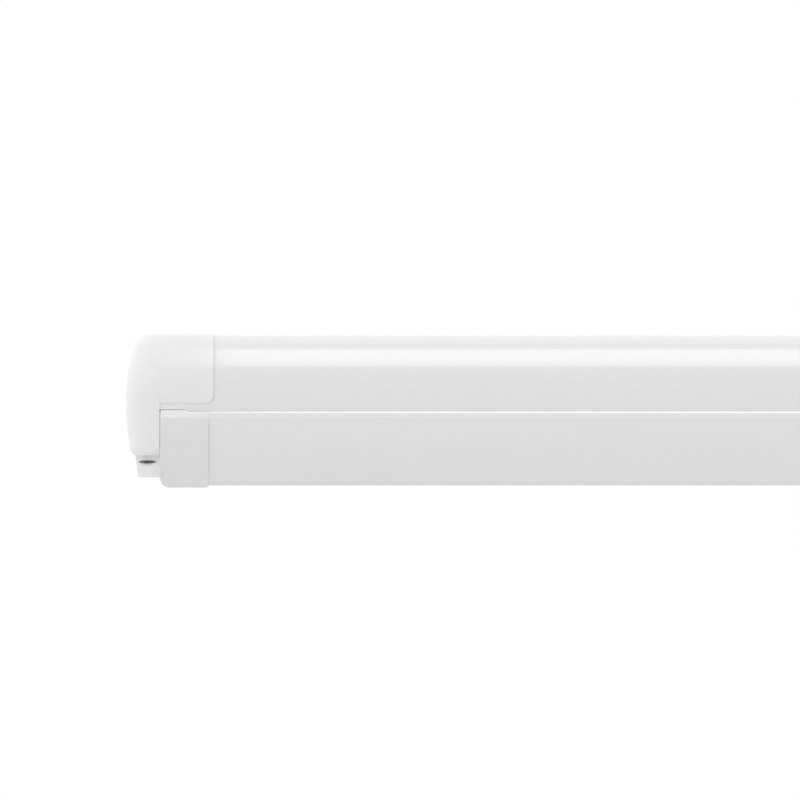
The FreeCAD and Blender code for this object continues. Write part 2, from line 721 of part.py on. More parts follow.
def worm_shaft():
    """Winch shaft with a two-start worm, drawn upright and leaned into place."""
    pitch = math.pi * GEAR_MODULE
    lead = WORM_STARTS * pitch
    core = WORM_PITCH_RADIUS - TOOTH_DEPTH
    tip = WORM_PITCH_RADIUS + TOOTH_HEIGHT
    half = WORM_LENGTH / 2
    body = Part.makeCylinder(core, WORM_LENGTH + 4, Vec(0, 0, -half - 2))
    for start in range(WORM_STARTS):
        helix = Part.makeHelix(lead, WORM_LENGTH, WORM_PITCH_RADIUS)
        inside = core - 0.6
        profile = Part.makePolygon(
            [
                Vec(inside, 0, -ROOT_HALF),
                Vec(tip, 0, -TIP_HALF),
                Vec(tip, 0, TIP_HALF),
                Vec(inside, 0, ROOT_HALF),
                Vec(inside, 0, -ROOT_HALF),
            ]
        )
        thread = Part.Wire(helix.Edges).makePipeShell([profile], True, True)
        thread.translate(Vec(0, 0, -half))
        # A thread that starts half a length below the contact has turned by this much when it gets there
        turned = -360 * (half / lead) + 360 * start / WORM_STARTS
        thread.rotate(Vec(0, 0, 0), Z_AXIS, turned + 90)
        body = body.fuse(thread)
    middle, down = winch_axis()
    top = winch_point(WINCH_BEARING_DROPS[0] - WINCH_BEARING_HALF - 1)
    bottom = winch_point(EYE_DROP - EYE_RADIUS)
    body.rotate(Vec(0, 0, 0), X_AXIS, -WORM_LEAN_DEG)
    body.translate(middle)
    return solid(body.fuse(rod(top, bottom, WINCH_SHAFT_RADIUS)))


def crank_eye():
    """Ring on the end of the winch shaft that the crank's hook goes through."""
    socket = EYE_SOCKET
    ring = Part.makeCylinder(EYE_RADIUS, EYE_THICKNESS, Vec(0, EYE_THICKNESS / 2, 0), Vec(0, -1, 0))
    rims = [edge for edge in ring.Edges if edge.Curve.TypeId == "Part::GeomCircle"]
    ring = ring.makeFillet(EYE_THICKNESS / 3, rims)
    sleeve = Part.makeCylinder(WINCH_SHAFT_RADIUS + 1.6, socket, Vec(0, 0, EYE_RADIUS - 1.5))
    ring = ring.fuse(sleeve)
    ring = ring.cut(Part.makeCylinder(EYE_BORE_RADIUS, 40, Vec(0, 20, 0), Vec(0, -1, 0)))
    ring = ring.cut(Part.makeCylinder(WINCH_SHAFT_RADIUS, 40, Vec(0, 0, EYE_RADIUS)))
    ring.rotate(Vec(0, 0, 0), X_AXIS, -WORM_LEAN_DEG)
    ring.translate(winch_point(EYE_DROP))
    return solid(ring)


# Lead rail


def rail_outline(grow, back, top, bottom, foot_radius):
    """Outline of the lead rail's bowed face, closed at the back, moved outwards by grow."""
    front = CASE_DEPTH + RAIL_BULGE + grow
    top_front = front - (RAIL_FACE_DROP - top) * math.tan(math.radians(RAIL_FACE_TOP_TILT_DEG))
    foot_front = front - (bottom - RAIL_FACE_DROP) * math.tan(math.radians(RAIL_FACE_FOOT_TILT_DEG))
    return section(
        [
            (back, top, 0),
            (top_front, top, RAIL_TOP_RADIUS),
            (front, RAIL_FACE_DROP, RAIL_FACE_RADIUS + grow),
            (foot_front, bottom, foot_radius),
            (back, bottom, 0),
        ]
    )


def lead_rail():
    """Extrusion behind the front face: fabric groove at the top, two leg channels below."""
    back = CHANNEL_FRONT
    skin = rail_outline(0, back, RAIL_TOP_DROP, RAIL_BOTTOM_DROP, RAIL_FOOT_RADIUS)
    inside = rail_outline(
        -RAIL_WALL, back - 1, RAIL_TOP_DROP + RAIL_WALL, RAIL_BOTTOM_DROP - RAIL_WALL, RAIL_FOOT_RADIUS - RAIL_WALL
    )
    skin = skin.cut(inside)
    mouth_edge = CHANNEL_FRONT + CHANNEL_WIDTH
    skin = skin.cut(strip(0, RAIL_CEILING_DROP + 10, mouth_edge, RAIL_BOTTOM_DROP + 1))
    ceiling = strip(RAIL_BACK, RAIL_CEILING_DROP, CASE_DEPTH + RAIL_WALL / 2, RAIL_CEILING_DROP + RAIL_WALL)
    rear_wall = strip(RAIL_BACK, RAIL_BACK_TOP, RAIL_BACK + RAIL_WALL, RAIL_BACK_END)
    partition = strip(RAIL_PARTITION, RAIL_CEILING_DROP, CHANNEL_FRONT, RAIL_BACK_END)
    neck = strip(RAIL_NECK, BEAD_DROP + 2, RAIL_NECK + RAIL_WALL, RAIL_CEILING_DROP + 1)
    bore = BEAD_RADIUS + BEAD_GAP
    boss = disc(BEAD_DEPTH, BEAD_DROP, bore + GROOVE_WALL)
    slope = math.tan(PITCH)
    reach = bore + GROOVE_WALL + 2
    half = GROOVE_MOUTH / 2
    mouth = section(
        [
            (BEAD_DEPTH - reach, BEAD_DROP - reach * slope - half, 0),
            (BEAD_DEPTH, BEAD_DROP - half, 0),
            (BEAD_DEPTH, BEAD_DROP + half, 0),
            (BEAD_DEPTH - reach, BEAD_DROP - reach * slope + half, 0),
        ]
    )
    profile = joined([skin, ceiling, rear_wall, partition, neck, boss])
    profile = profile.cut(disc(BEAD_DEPTH, BEAD_DROP, bore)).cut(mouth)
    half_length = CAP_IN - RAIL_CAP_GAP - RAIL_CAP_WALL
    return solid(along(profile, -half_length, half_length))


def hem_bead():
    """Round cord sewn into the fabric's front hem, held in the lead rail's groove."""
    start = place(-FABRIC_WIDTH / 2, BEAD_DEPTH, BEAD_DROP)
    return rod(start, start + Vec(FABRIC_WIDTH, 0, 0), BEAD_RADIUS)


def fabric_lead():
    """The stretch of fabric from the roll's underside to the lead rail's groove."""
    slope = Vec(math.cos(PITCH), math.sin(PITCH), 0)
    under = Vec(-math.sin(PITCH), math.cos(PITCH), 0)
    foot = Vec(FABRIC_FOOT_DEPTH, FABRIC_FOOT_DROP, 0)
    run = Vec(BEAD_DEPTH, BEAD_DROP, 0).distanceToPoint(foot) - BEAD_RADIUS - SOFT_GAP
    corners = []
    for reach, below in ((0, 0), (run, 0), (run, 1), (0, 1)):
        point = foot + slope * reach + under * (SOFT_GAP + below * FABRIC_THICKNESS)
        corners.append((point.x, point.y, 0))
    return along(section(corners), -FABRIC_WIDTH / 2, FABRIC_WIDTH / 2)


def rail_cap():
    """Moulded cap over the left end of the lead rail."""
    x_0 = -CAP_IN + RAIL_CAP_GAP
    x_1 = -CAP_IN + RAIL_CAP_WIDTH
    outline = rail_outline(RAIL_CAP_PROUD, RAIL_BACK + 1, RAIL_CAP_TOP_DROP, RAIL_CAP_BOTTOM_DROP, 6)
    body = along(outline, x_0, x_1)
    window = front_window(
        [
            (x_0, RAIL_CAP_TOP_DROP - 5, 0),
            (x_1, RAIL_CAP_TOP_DROP - 5, 0),
            (x_1, RAIL_CAP_BOTTOM_DROP, 2.5),
            (x_0, RAIL_CAP_BOTTOM_DROP, RAIL_CAP_CORNER),
        ]
    )
    body = body.common(window)
    hollow = rail_outline(0, RAIL_BACK - 4, RAIL_TOP_DROP, RAIL_BOTTOM_DROP, RAIL_FOOT_RADIUS)
    body = body.cut(along(hollow, x_0 + RAIL_CAP_WALL, x_1 + 1))
    boss_room = box(x_0 + RAIL_CAP_WALL, x_1, RAIL_BACK - 4, BEAD_DEPTH + 7, BEAD_DROP - 8, RAIL_TOP_DROP + 1)
    body = body.cut(boss_room)
    step = -HALF + SKIRT_WIDTH
    return solid(body.cut(box(step, x_1 + 1, RAIL_BACK - 1, 2 * CASE_DEPTH, RAIL_CAP_TOP_DROP - 2, RAIL_TOP_DROP)))


# Support legs, drawn flat with x along the leg and y up, then stood up in their channel


def leg_bar(x_0, x_1, width, height, corner):
    """A bar of rounded section along a leg, centred on its pivot's line."""
    half_w = width / 2
    half_h = height / 2
    points = [(-half_w, -half_h, corner), (half_w, -half_h, corner), (half_w, half_h, corner), (-half_w, half_h, corner)]
    face = Part.Face(rounded(points))
    face.rotate(Vec(0, 0, 0), Y_AXIS, 90)
    face.translate(Vec(x_0, 0, 0))
    return face.extrude(Vec(x_1 - x_0, 0, 0))


def leg_pieces(depth):
    """Every piece of the left leg, by name, in a channel at a depth."""
    pieces = {}
    half_h = LEG_HEIGHT / 2
    half_w = LEG_WIDTH / 2
    neck = LEG_KNUCKLE_RADIUS + 6
    tube_start = neck + 4
    pivot = Vec(0, 0, 0)

    knuckle = ear(pivot, LEG_KNUCKLE_RADIUS, Vec(neck, half_h - 1.5, 0), Vec(neck, 1.5 - half_h, 0), -half_w, half_w)
    knuckle = knuckle.fuse(leg_bar(neck, tube_start, LEG_WIDTH, LEG_HEIGHT, 3))
    plug_w = LEG_WIDTH - 2 * LEG_WALL - 0.2
    plug_h = LEG_HEIGHT - 2 * LEG_WALL - 0.2
    knuckle = knuckle.fuse(leg_bar(tube_start, tube_start + 28, plug_w, plug_h, 1.6))
    pieces["leg_knuckle"] = knuckle.cut(drill(pivot, LEG_PIN_RADIUS + RUNNING_GAP))

    outer = leg_bar(tube_start, LEG_LENGTH, LEG_WIDTH, LEG_HEIGHT, 3)
    inner = leg_bar(tube_start - 1, LEG_LENGTH + 1, LEG_WIDTH - 2 * LEG_WALL, LEG_HEIGHT - 2 * LEG_WALL, 1.7)
    pieces["leg_tube"] = outer.cut(inner)

    collar_start = LEG_LENGTH - COLLAR_LAP
    collar_end = collar_start + COLLAR_LENGTH
    collar = leg_bar(collar_start, collar_end, COLLAR_WIDTH, COLLAR_HEIGHT, 4)
    collar = collar.cut(leg_bar(collar_start - 1, LEG_LENGTH, LEG_WIDTH, LEG_HEIGHT, 3))
    collar = collar.cut(leg_bar(LEG_LENGTH - 1, collar_end + 1, INNER_WIDTH + 0.6, INNER_HEIGHT + 0.6, 2.3))
    axle = Vec(LEG_LENGTH - LUG_SETBACK, -COLLAR_HEIGHT / 2 - LUG_RADIUS, 0)
    lug_roots = (Vec(axle.x + 4, 1 - COLLAR_HEIGHT / 2, 0), Vec(axle.x - 4, 1 - COLLAR_HEIGHT / 2, 0))
    for z_0 in (-COLLAR_WIDTH / 2, COLLAR_WIDTH / 2 - LUG_WALL):
        collar = collar.fuse(ear(axle, LUG_RADIUS, lug_roots[0], lug_roots[1], z_0, z_0 + LUG_WALL))
    pieces["leg_collar"] = collar.cut(drill(axle, LEVER_AXLE_RADIUS + RUNNING_GAP))

    lever_half = COLLAR_WIDTH / 2 - LUG_WALL - EAR_GAP
    low = axle - Vec(0, 0, lever_half)
    tip_radius = LEVER_WALL / 2 + 0.5
    lever = Part.makeCylinder(LUG_RADIUS - EAR_GAP, 2 * lever_half, low)
    lever = lever.fuse(Part.makeBox(LEVER_LENGTH, LEVER_WALL, 2 * lever_half, low - Vec(0, 1.7, 0)))
    lever = lever.fuse(Part.makeCylinder(tip_radius, 2 * lever_half, low + Vec(LEVER_LENGTH, -1.1, 0)))
    lever = lever.fuse(Part.makeCylinder(LEVER_AXLE_RADIUS, COLLAR_WIDTH, axle - Vec(0, 0, COLLAR_WIDTH / 2)))
    pieces["clamp_lever"] = lever

    inner_end = collar_end + INNER_SHOW
    sliding = leg_bar(INNER_START, inner_end, INNER_WIDTH, INNER_HEIGHT, 2)
    hollow_w = INNER_WIDTH - 2 * INNER_WALL
    hollow_h = INNER_HEIGHT - 2 * INNER_WALL
    pieces["inner_leg"] = sliding.cut(leg_bar(INNER_START - 1, inner_end + 1, hollow_w, hollow_h, 0.8))

    ankle = Vec(inner_end + FOOT_REACH, 0, 0)
    half_post = FOOT_POST_HALF
    post = ear(ankle, FOOT_EAR_RADIUS, Vec(inner_end, -8, 0), Vec(inner_end, 8, 0), -half_post, half_post)
    post = post.fuse(leg_bar(inner_end - 20, inner_end, hollow_w - 0.2, hollow_h - 0.2, 0.7))
    pieces["foot_post"] = post.cut(drill(ankle, FOOT_PIN_RADIUS))
    sole_x = ankle.x + SOLE_REACH
    foot = Part.makeBox(SOLE_WALL, SOLE_LENGTH, COLLAR_WIDTH, Vec(sole_x, -SOLE_LENGTH / 2, -COLLAR_WIDTH / 2))
    sole_corners = (Vec(sole_x + 1, 9, 0), Vec(sole_x + 1, -9, 0))
    for z_0 in (half_post + EAR_GAP, -half_post - EAR_GAP - FOOT_EAR_WALL):
        foot = foot.fuse(ear(ankle, FOOT_EAR_RADIUS, sole_corners[0], sole_corners[1], z_0, z_0 + FOOT_EAR_WALL))
    pieces["foot"] = foot.cut(drill(ankle, FOOT_PIN_RADIUS + RUNNING_GAP))
    pin_half = half_post + EAR_GAP + FOOT_EAR_WALL + 0.6
    pieces["foot_pin"] = Part.makeCylinder(FOOT_PIN_RADIUS, 2 * pin_half, ankle - Vec(0, 0, pin_half))

    half_channel = CHANNEL_WIDTH / 2
    wall = HANGER_WALL
    cheek_rear = Vec(-LEG_KNUCKLE_RADIUS - 4, -LEG_KNUCKLE_RADIUS, 0)
    length = 2 * LEG_KNUCKLE_RADIUS + 6
    cheek = Part.makeBox(length, LEG_HEADROOM - cheek_rear.y, wall, cheek_rear + Vec(0, 0, half_channel - wall))
    mate = Part.makeBox(length, LEG_HEADROOM - cheek_rear.y, wall, cheek_rear - Vec(0, 0, half_channel))
    web = Part.makeBox(length, wall, CHANNEL_WIDTH, Vec(cheek_rear.x, LEG_HEADROOM - wall, -half_channel))
    pieces["leg_hanger"] = cheek.fuse(mate).fuse(web).cut(drill(pivot, LEG_PIN_RADIUS))
    pieces["leg_pin"] = Part.makeCylinder(LEG_PIN_RADIUS, CHANNEL_WIDTH, Vec(0, 0, -half_channel))

    stood = {}
    for name, shape in pieces.items():
        turned = solid(shape)
        turned.rotate(Vec(0, 0, 0), X_AXIS, 90)
        turned.translate(place(-LEG_PIVOT_X, depth, LEG_DROP))
        stood[name] = turned
    return stood


# Arms, drawn flat at the left end and then pitched: x along the awning, y backwards, z up


def pitched(shape):
    """Puts a shape drawn flat round the left shoulder's line into the arms' pitched plane."""
    turned = shape.copy()
    turned.rotate(Vec(0, 0, 0), X_AXIS, PITCH_DEG)
    turned.translate(place(0, SHOULDER_DEPTH, SHOULDER_DROP))
    return turned


def tangent_point(point, centre, radius, other):
    """Where a line from point touches a circle, on the side away from the other corner."""
    line = centre - point
    side = -1 if line.cross(other - point).z > 0 else 1
    angle = math.asin(radius / line.Length) * side
    reach = math.sqrt(line.Length**2 - radius**2)
    heading = math.atan2(line.y, line.x) + angle
    return point + Vec(math.cos(heading), math.sin(heading), 0) * reach


def ear(centre, radius, first, second, z_0, z_1):
    """A flat ear: straight sides from two corners, tangent to a round end at centre."""
    start = tangent_point(first, centre, radius, second)
    end = tangent_point(second, centre, radius, first)
    away = (centre - (first + second) * 0.5).normalize()
    edges = [
        Part.LineSegment(first, start).toShape(),
        Part.Arc(start, centre + away * radius, end).toShape(),
        Part.LineSegment(end, second).toShape(),
        Part.LineSegment(second, first).toShape(),
    ]
    face = Part.Face(Part.Wire(edges))
    face.translate(Vec(0, 0, z_0))
    body = face.extrude(Vec(0, 0, z_1 - z_0))
    return body


def arm_tube(x_0, x_1, forward):
    """A hollow arm with rounded corners, from x_0 to x_1, whose middle is forward of the shoulder."""

    def bar(width, height, corner, x_a, x_b):
        half_w = width / 2
        half_h = height / 2
        points = [
            (-half_w, -half_h, corner),
            (half_w, -half_h, corner),
            (half_w, half_h, corner),
            (-half_w, half_h, corner),
        ]
        face = Part.Face(rounded(points))
        face.rotate(Vec(0, 0, 0), X_AXIS, 90)
        face.rotate(Vec(0, 0, 0), Z_AXIS, 90)
        face.translate(Vec(x_a, -forward, 0))
        return face.extrude(Vec(x_b - x_a, 0, 0))

    outer = bar(ARM_WIDTH, ARM_HEIGHT, ARM_CORNER, x_0, x_1)
    inner_corner = ARM_CORNER - ARM_WALL
    inner = bar(ARM_WIDTH - 2 * ARM_WALL, ARM_HEIGHT - 2 * ARM_WALL, inner_corner, x_0 - 1, x_1 + 1)
    return outer.cut(inner)


def arm_plug(x_0, x_1, forward):
    """The spigot of a casting inside an arm tube."""
    half_w = ARM_WIDTH / 2 - ARM_WALL - 0.2
    half_h = ARM_HEIGHT / 2 - ARM_WALL - 0.2
    body = Part.makeBox(x_1 - x_0, 2 * half_w, 2 * half_h, Vec(x_0, -forward - half_w, -half_h))
    edges = [edge for edge in body.Edges if abs(edge.Vertexes[0].X - edge.Vertexes[1].X) > 1]
    return body.makeFillet(ARM_CORNER - ARM_WALL, edges)


def arm_collar(x_0, x_1, forward):
    """The full-size shoulder of a casting, against the end of an arm tube."""
    half_w = ARM_WIDTH / 2
    half_h = ARM_HEIGHT / 2
    body = Part.makeBox(x_1 - x_0, ARM_WIDTH, ARM_HEIGHT, Vec(x_0, -forward - half_w, -half_h))
    edges = [edge for edge in body.Edges if abs(edge.Vertexes[0].X - edge.Vertexes[1].X) > 1]
    return body.makeFillet(ARM_CORNER, edges)


def pin(x, forward, radius, half, head=PIN_HEAD):
    """A headed pin on a pivot's axis."""
    low = Vec(x, -forward, -half)
    high = Vec(x, -forward, half)
    body = rod(low, high, radius)
    top = Part.makeCylinder(radius + 2.2, head, high)
    foot = Part.makeCylinder(radius + 1.6, head * 0.7, low - Vec(0, 0, head * 0.7))
    return body.fuse(top).fuse(foot)


def wrist_base():
    """The upright foot of a wrist bracket, against the lead rail's rear wall."""
    return box(-SHOULDER_X - 20, -SHOULDER_X + 10, RAIL_BACK - 2, RAIL_BACK, RAIL_BACK_TOP + 0.5, LEG_DROP + 6)


def arm_pieces():
    """Every piece of the left arm, by name, in the arms' pitched plane."""
    x_s = -SHOULDER_X
    x_e = -ELBOW_X
    step = ARM_STEP
    shoulder = Vec(x_s, 0, 0)
    elbow = Vec(x_e, -step, 0)
    wrist = Vec(x_s, -2 * step, 0)
    half_w = ARM_WIDTH / 2
    half_h = ARM_HEIGHT / 2
    pieces = {}

    tube_start = x_s + SHOULDER_REACH + ARM_COLLAR
    tube_end = x_e - ELBOW_REACH - ARM_COLLAR
    pieces["rear_arm_tube"] = arm_tube(tube_start, tube_end, 0)

    knuckle = ear(
        shoulder,
        KNUCKLE_RADIUS,
        Vec(x_s + SHOULDER_REACH, half_w - 1.5, 0),
        Vec(x_s + SHOULDER_REACH, -half_w + 1.5, 0),
        -SHOULDER_HALF,
        SHOULDER_HALF,
    )
    knuckle = knuckle.fuse(arm_collar(x_s + SHOULDER_REACH, tube_start, 0))
    knuckle = knuckle.fuse(arm_plug(tube_start, tube_start + SPIGOT, 0))
    pieces["shoulder_knuckle"] = knuckle.cut(drill(shoulder, PIN_RADIUS + RUNNING_GAP))

    fork = arm_collar(tube_end, x_e - ELBOW_REACH, 0).fuse(arm_plug(tube_end - SPIGOT, tube_end, 0))
    for low, high in ((ELBOW_MIDDLE + EAR_GAP, half_h - 1), (1 - half_h, -ELBOW_MIDDLE - EAR_GAP)):
        fork = fork.fuse(
            ear(
                elbow,
                ELBOW_RADIUS,
                Vec(x_e - ELBOW_REACH, half_w - 1.5, 0),
                Vec(x_e - ELBOW_REACH, -half_w + 1.5, 0),
                low,
                high,
            )
        )
    pieces["elbow_fork"] = fork.cut(drill(elbow, PIN_RADIUS))

    front_start = x_s + WRIST_REACH + ARM_COLLAR
    pieces["front_arm_tube"] = arm_tube(front_start, tube_end, 2 * step)
    tongue = ear(
        elbow,
        ELBOW_RADIUS,
        Vec(x_e - ELBOW_REACH, -2 * step + half_w - 1.5, 0),
        Vec(x_e - ELBOW_REACH, -2 * step - half_w + 1.5, 0),
        -ELBOW_MIDDLE,
        ELBOW_MIDDLE,
    )
    tongue = tongue.fuse(arm_collar(tube_end, x_e - ELBOW_REACH, 2 * step))
    tongue = tongue.fuse(arm_plug(tube_end - SPIGOT, tube_end, 2 * step))
    pieces["elbow_tongue"] = tongue.cut(drill(elbow, PIN_RADIUS + RUNNING_GAP))

    hand = ear(
        wrist,
        WRIST_RADIUS,
        Vec(x_s + WRIST_REACH, -2 * step + half_w - 2.5, 0),
        Vec(x_s + WRIST_REACH, -2 * step - half_w + 2.5, 0),
        -WRIST_HALF,
        WRIST_HALF,
    )
    hand = hand.fuse(arm_collar(x_s + WRIST_REACH, front_start, 2 * step))
    hand = hand.fuse(arm_plug(front_start, front_start + SPIGOT, 2 * step))
    pieces["wrist_knuckle"] = hand.cut(drill(wrist, WRIST_PIN_RADIUS + RUNNING_GAP))

    pieces["shoulder_pin"] = pin(x_s, 0, PIN_RADIUS, SHOULDER_HALF + EAR_GAP + SHOULDER_EAR, PIN_HEAD / 2)
    pieces["elbow_pin"] = pin(x_e, step, PIN_RADIUS, half_h - 1)
    pieces["wrist_pin"] = pin(x_s, 2 * step, WRIST_PIN_RADIUS, WRIST_HALF + EAR_GAP + WRIST_EAR)

    fork_bracket = None
    roots = (Vec(x_s + 8, -2 * step - 17, 0), Vec(x_s - 18, -2 * step - 17, 0))
    for low in (WRIST_HALF + EAR_GAP, -WRIST_HALF - EAR_GAP - WRIST_EAR):
        blade = ear(wrist, WRIST_RADIUS, roots[0], roots[1], low, low + WRIST_EAR)
        fork_bracket = blade if fork_bracket is None else fork_bracket.fuse(blade)
    pieces["wrist_bracket"] = fork_bracket.cut(drill(wrist, WRIST_PIN_RADIUS))

    base_end = x_s - KNUCKLE_RADIUS - 2
    base_start = -CAP_IN + END_PLATE_WALL
    base_top = SHOULDER_HALF + EAR_GAP + SHOULDER_EAR
    bracket = Part.makeBox(base_end - base_start, 20, FLOOR_DROP + base_top, Vec(base_start, -10, -FLOOR_DROP))
    for low in (SHOULDER_HALF + EAR_GAP, -SHOULDER_HALF - EAR_GAP - SHOULDER_EAR):
        bracket = bracket.fuse(
            ear(shoulder, KNUCKLE_RADIUS, Vec(base_end, -10, 0), Vec(base_end, 10, 0), low, low + SHOULDER_EAR)
        )
    pieces["shoulder_bracket"] = bracket.cut(drill(shoulder, PIN_RADIUS))
    return pieces


def pair(nodes, name, left, right, grouped):
    """Adds a left and a right piece as two nodes, or as one node of two solids if it is grouped."""
    if name in grouped:
        nodes[name + "s"] = Part.makeCompound(left.Solids + right.Solids)
    else:
        nodes[name + "_left"] = left
        nodes[name + "_right"] = right


def main():
    os.makedirs("parts", exist_ok=True)
    nodes = {}
    nodes["front_cover"] = front_cover()
    nodes["cover_seal"] = cover_seal()
    nodes["case_back"] = case_back()
    nodes["wall_brackets"] = Part.makeCompound(wall_brackets())
    nodes["side_cap_left"] = side_cap(True)
    nodes["side_cap_right"] = mirrored(side_cap(False))
    screws = [cap_screw(place_in_section) for place_in_section in CAP_SCREW_PLACES]
    nodes["cap_screws"] = Part.makeCompound(screws + [mirrored(screw) for screw in screws])
    nodes["end_plate_left"] = end_plate(True)
    nodes["end_plate_right"] = mirrored(end_plate(False))
    nodes["roller_bushes"] = Part.makeCompound([roller_bush(), mirrored(roller_bush())])
    nodes.update(roller_pieces())
    nodes["worm_wheel"] = worm_wheel()
    nodes["worm_shaft"] = worm_shaft()
    nodes["crank_eye"] = crank_eye()
    nodes["fabric_lead"] = fabric_lead()
    nodes["hem_bead"] = hem_bead()
    nodes["lead_rail"] = lead_rail()
    nodes["rail_cap_left"] = rail_cap()
    nodes["rail_cap_right"] = mirrored(rail_cap())
    for name, shape in arm_pieces().items():
        left = solid(pitched(shape))
        if name == "wrist_bracket":
            trim = box(-HALF, HALF, RAIL_BACK, RAIL_BACK + 20, 0, CHIN_DROP)
            left = solid(left.fuse(wrist_base()).cut(trim))
        pair(nodes, name, left, mirrored(left), ("shoulder_bracket", "shoulder_pin", "wrist_bracket", "wrist_pin"))
    rear_leg = leg_pieces(REAR_LEG_DEPTH)
    for name, left in leg_pieces(FRONT_LEG_DEPTH).items():
        pair(nodes, name, left, mirrored(rear_leg[name]), ("leg_hanger", "leg_pin"))
    for name, shape in nodes.items():
        shape.exportStep("parts/" + name + ".step")
        print(name, len(shape.Solids), round(shape.Volume), shape.isValid())
    print(len(nodes), "nodes")


if __name__ == "__main__":
    main()
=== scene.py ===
import json
import math

import bmesh
import bpy
import numpy as np
from bpy.props import FloatProperty, FloatVectorProperty, PointerProperty
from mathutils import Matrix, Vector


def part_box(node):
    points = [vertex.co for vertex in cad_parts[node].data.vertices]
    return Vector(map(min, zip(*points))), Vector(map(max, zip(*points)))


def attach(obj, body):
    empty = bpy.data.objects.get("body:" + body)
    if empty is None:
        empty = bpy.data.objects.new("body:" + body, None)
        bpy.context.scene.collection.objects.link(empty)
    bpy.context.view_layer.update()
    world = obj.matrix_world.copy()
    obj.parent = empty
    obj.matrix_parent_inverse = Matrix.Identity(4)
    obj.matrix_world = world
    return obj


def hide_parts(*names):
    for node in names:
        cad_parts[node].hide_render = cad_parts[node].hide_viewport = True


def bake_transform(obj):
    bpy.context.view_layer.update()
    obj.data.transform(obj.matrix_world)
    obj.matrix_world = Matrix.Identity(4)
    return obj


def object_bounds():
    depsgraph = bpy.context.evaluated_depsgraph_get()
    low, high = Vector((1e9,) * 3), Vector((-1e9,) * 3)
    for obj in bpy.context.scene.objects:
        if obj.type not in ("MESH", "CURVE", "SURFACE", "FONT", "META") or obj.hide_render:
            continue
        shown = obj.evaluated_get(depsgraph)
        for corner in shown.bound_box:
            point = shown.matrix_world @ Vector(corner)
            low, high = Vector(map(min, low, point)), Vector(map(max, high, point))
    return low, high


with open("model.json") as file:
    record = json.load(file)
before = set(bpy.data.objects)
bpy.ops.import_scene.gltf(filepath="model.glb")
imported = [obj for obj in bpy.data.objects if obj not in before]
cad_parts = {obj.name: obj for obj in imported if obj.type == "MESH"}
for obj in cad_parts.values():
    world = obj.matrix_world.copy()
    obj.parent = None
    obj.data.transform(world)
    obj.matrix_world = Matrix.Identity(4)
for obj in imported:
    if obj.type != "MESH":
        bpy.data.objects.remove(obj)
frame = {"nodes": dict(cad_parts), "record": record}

# Dresses a roll out awning: paint, cloth, plastic and metal, the cloth itself, and small fittings.
# Metres. X runs along the awning, the wall is at Y = 0, the front faces -Y and +Z is up.
# Sections are drawn as (depth, drop): depth in front of the wall, drop below the cover's top.

bl_info = {
    "name": "Roll out awning",
    "version": (1, 0, 0),
    "blender": (4, 5, 0),
    "location": "View3D > Sidebar > Awning",
    "description": "Makes the finishes, the cloth and the fittings of a roll out awning",
    "category": "Object",
}

# Places read from the frame
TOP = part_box("front_cover")[1].z
CAD_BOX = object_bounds()
ROLL_LOW, ROLL_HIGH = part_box("fabric_roll")
TUBE_LOW, TUBE_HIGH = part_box("roller_tube")
LEAD_LOW, LEAD_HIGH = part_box("fabric_lead")

# Canopy: the cloth, the pitch at which it leaves the roll, and the sag and ripples of its free run
PITCH = math.radians(8)
CLOTH_THICKNESS = 0.00045
YARN_PITCH = 0.0011
TURN_POINTS = 44
ROLL_STEPS = 25
LEAD_STEPS = 61
LEAD_ROWS = 49
LEAD_SAG = 0.004
LEAD_RIPPLE = 0.0005

# Side caps: the arc that bows their outer ends, the middle of the section and how deep the bend reaches
CAP_LENGTH = 0.0306
BOW_RADIUS = 0.06
BOW_CENTRE = (0.052, 0.06)
BOW_CORE = 0.045
CAP_SLICES = 22
CAP_CREASE = math.radians(32)
FLAT_ANGLE = 0.003
TINY = 1e-6

# Mouth for the crank hook: its place, its half width and half height, and the collar's (depth, share) rows
MOUTH_X = 1.2802
MOUTH_DROP = 0.1142
MOUTH_SIZE = (0.0088, 0.0028)
COLLAR_POINTS = 96
COLLAR_STEPS = (
    (0.1002, 1.04), (0.1, 0.97), (0.0988, 0.74), (0.0976, 0.52), (0.0968, 0.4), (0.097, 0.55), (0.0985, 0.9)
)

# Lead rail: the lip along its upper edge and the thin pads on its caps' outer faces, as (depth, drop)
LIP_CREASE = math.radians(25)
LIP_SECTIONS = {
    "rail": (
        (0.1119, 0.06882), (0.1129, 0.06985), (0.11286, 0.0708),
        (0.11246, 0.0755), (0.1115, 0.0755), (0.111, 0.07),
    ),
    "cap": (
        (0.1119, 0.06882), (0.1131, 0.07005), (0.1134, 0.071),
        (0.11345, 0.0755), (0.1125, 0.0755), (0.111, 0.07),
    ),
    "cap_end": (
        (0.1118, 0.06745), (0.1127, 0.06835), (0.1129, 0.069),
        (0.11345, 0.0755), (0.1125, 0.0755), (0.111, 0.0686),
    ),
}
LIP_PLACES = (
    (-1.2682, "cap_end"), (-1.2475, "cap_end"), (-1.2435, "cap"), (-1.2266, "cap"), (-1.2246, "rail"),
    (1.2246, "rail"), (1.2266, "cap"), (1.2435, "cap"), (1.2475, "cap_end"), (1.2682, "cap_end"),
)
PAD_X = (1.2685, 1.26925)
PAD_SECTION = ((0.1, 0.0695), (0.1122, 0.0695), (0.1122, 0.128), (0.1, 0.128))

# Stage: the overhead strips as (width, share of the radiance), their place, and the floor
STRIP_LENGTH = 3.4
STRIPS = ((0.3, 0.35), (0.14, 0.65))
STRIP_RISE = 0.36
STRIP_FORWARD = 0.03
SENSOR_WIDTH = 36.0
FLOOR_HALF = 14.0


# Shader building


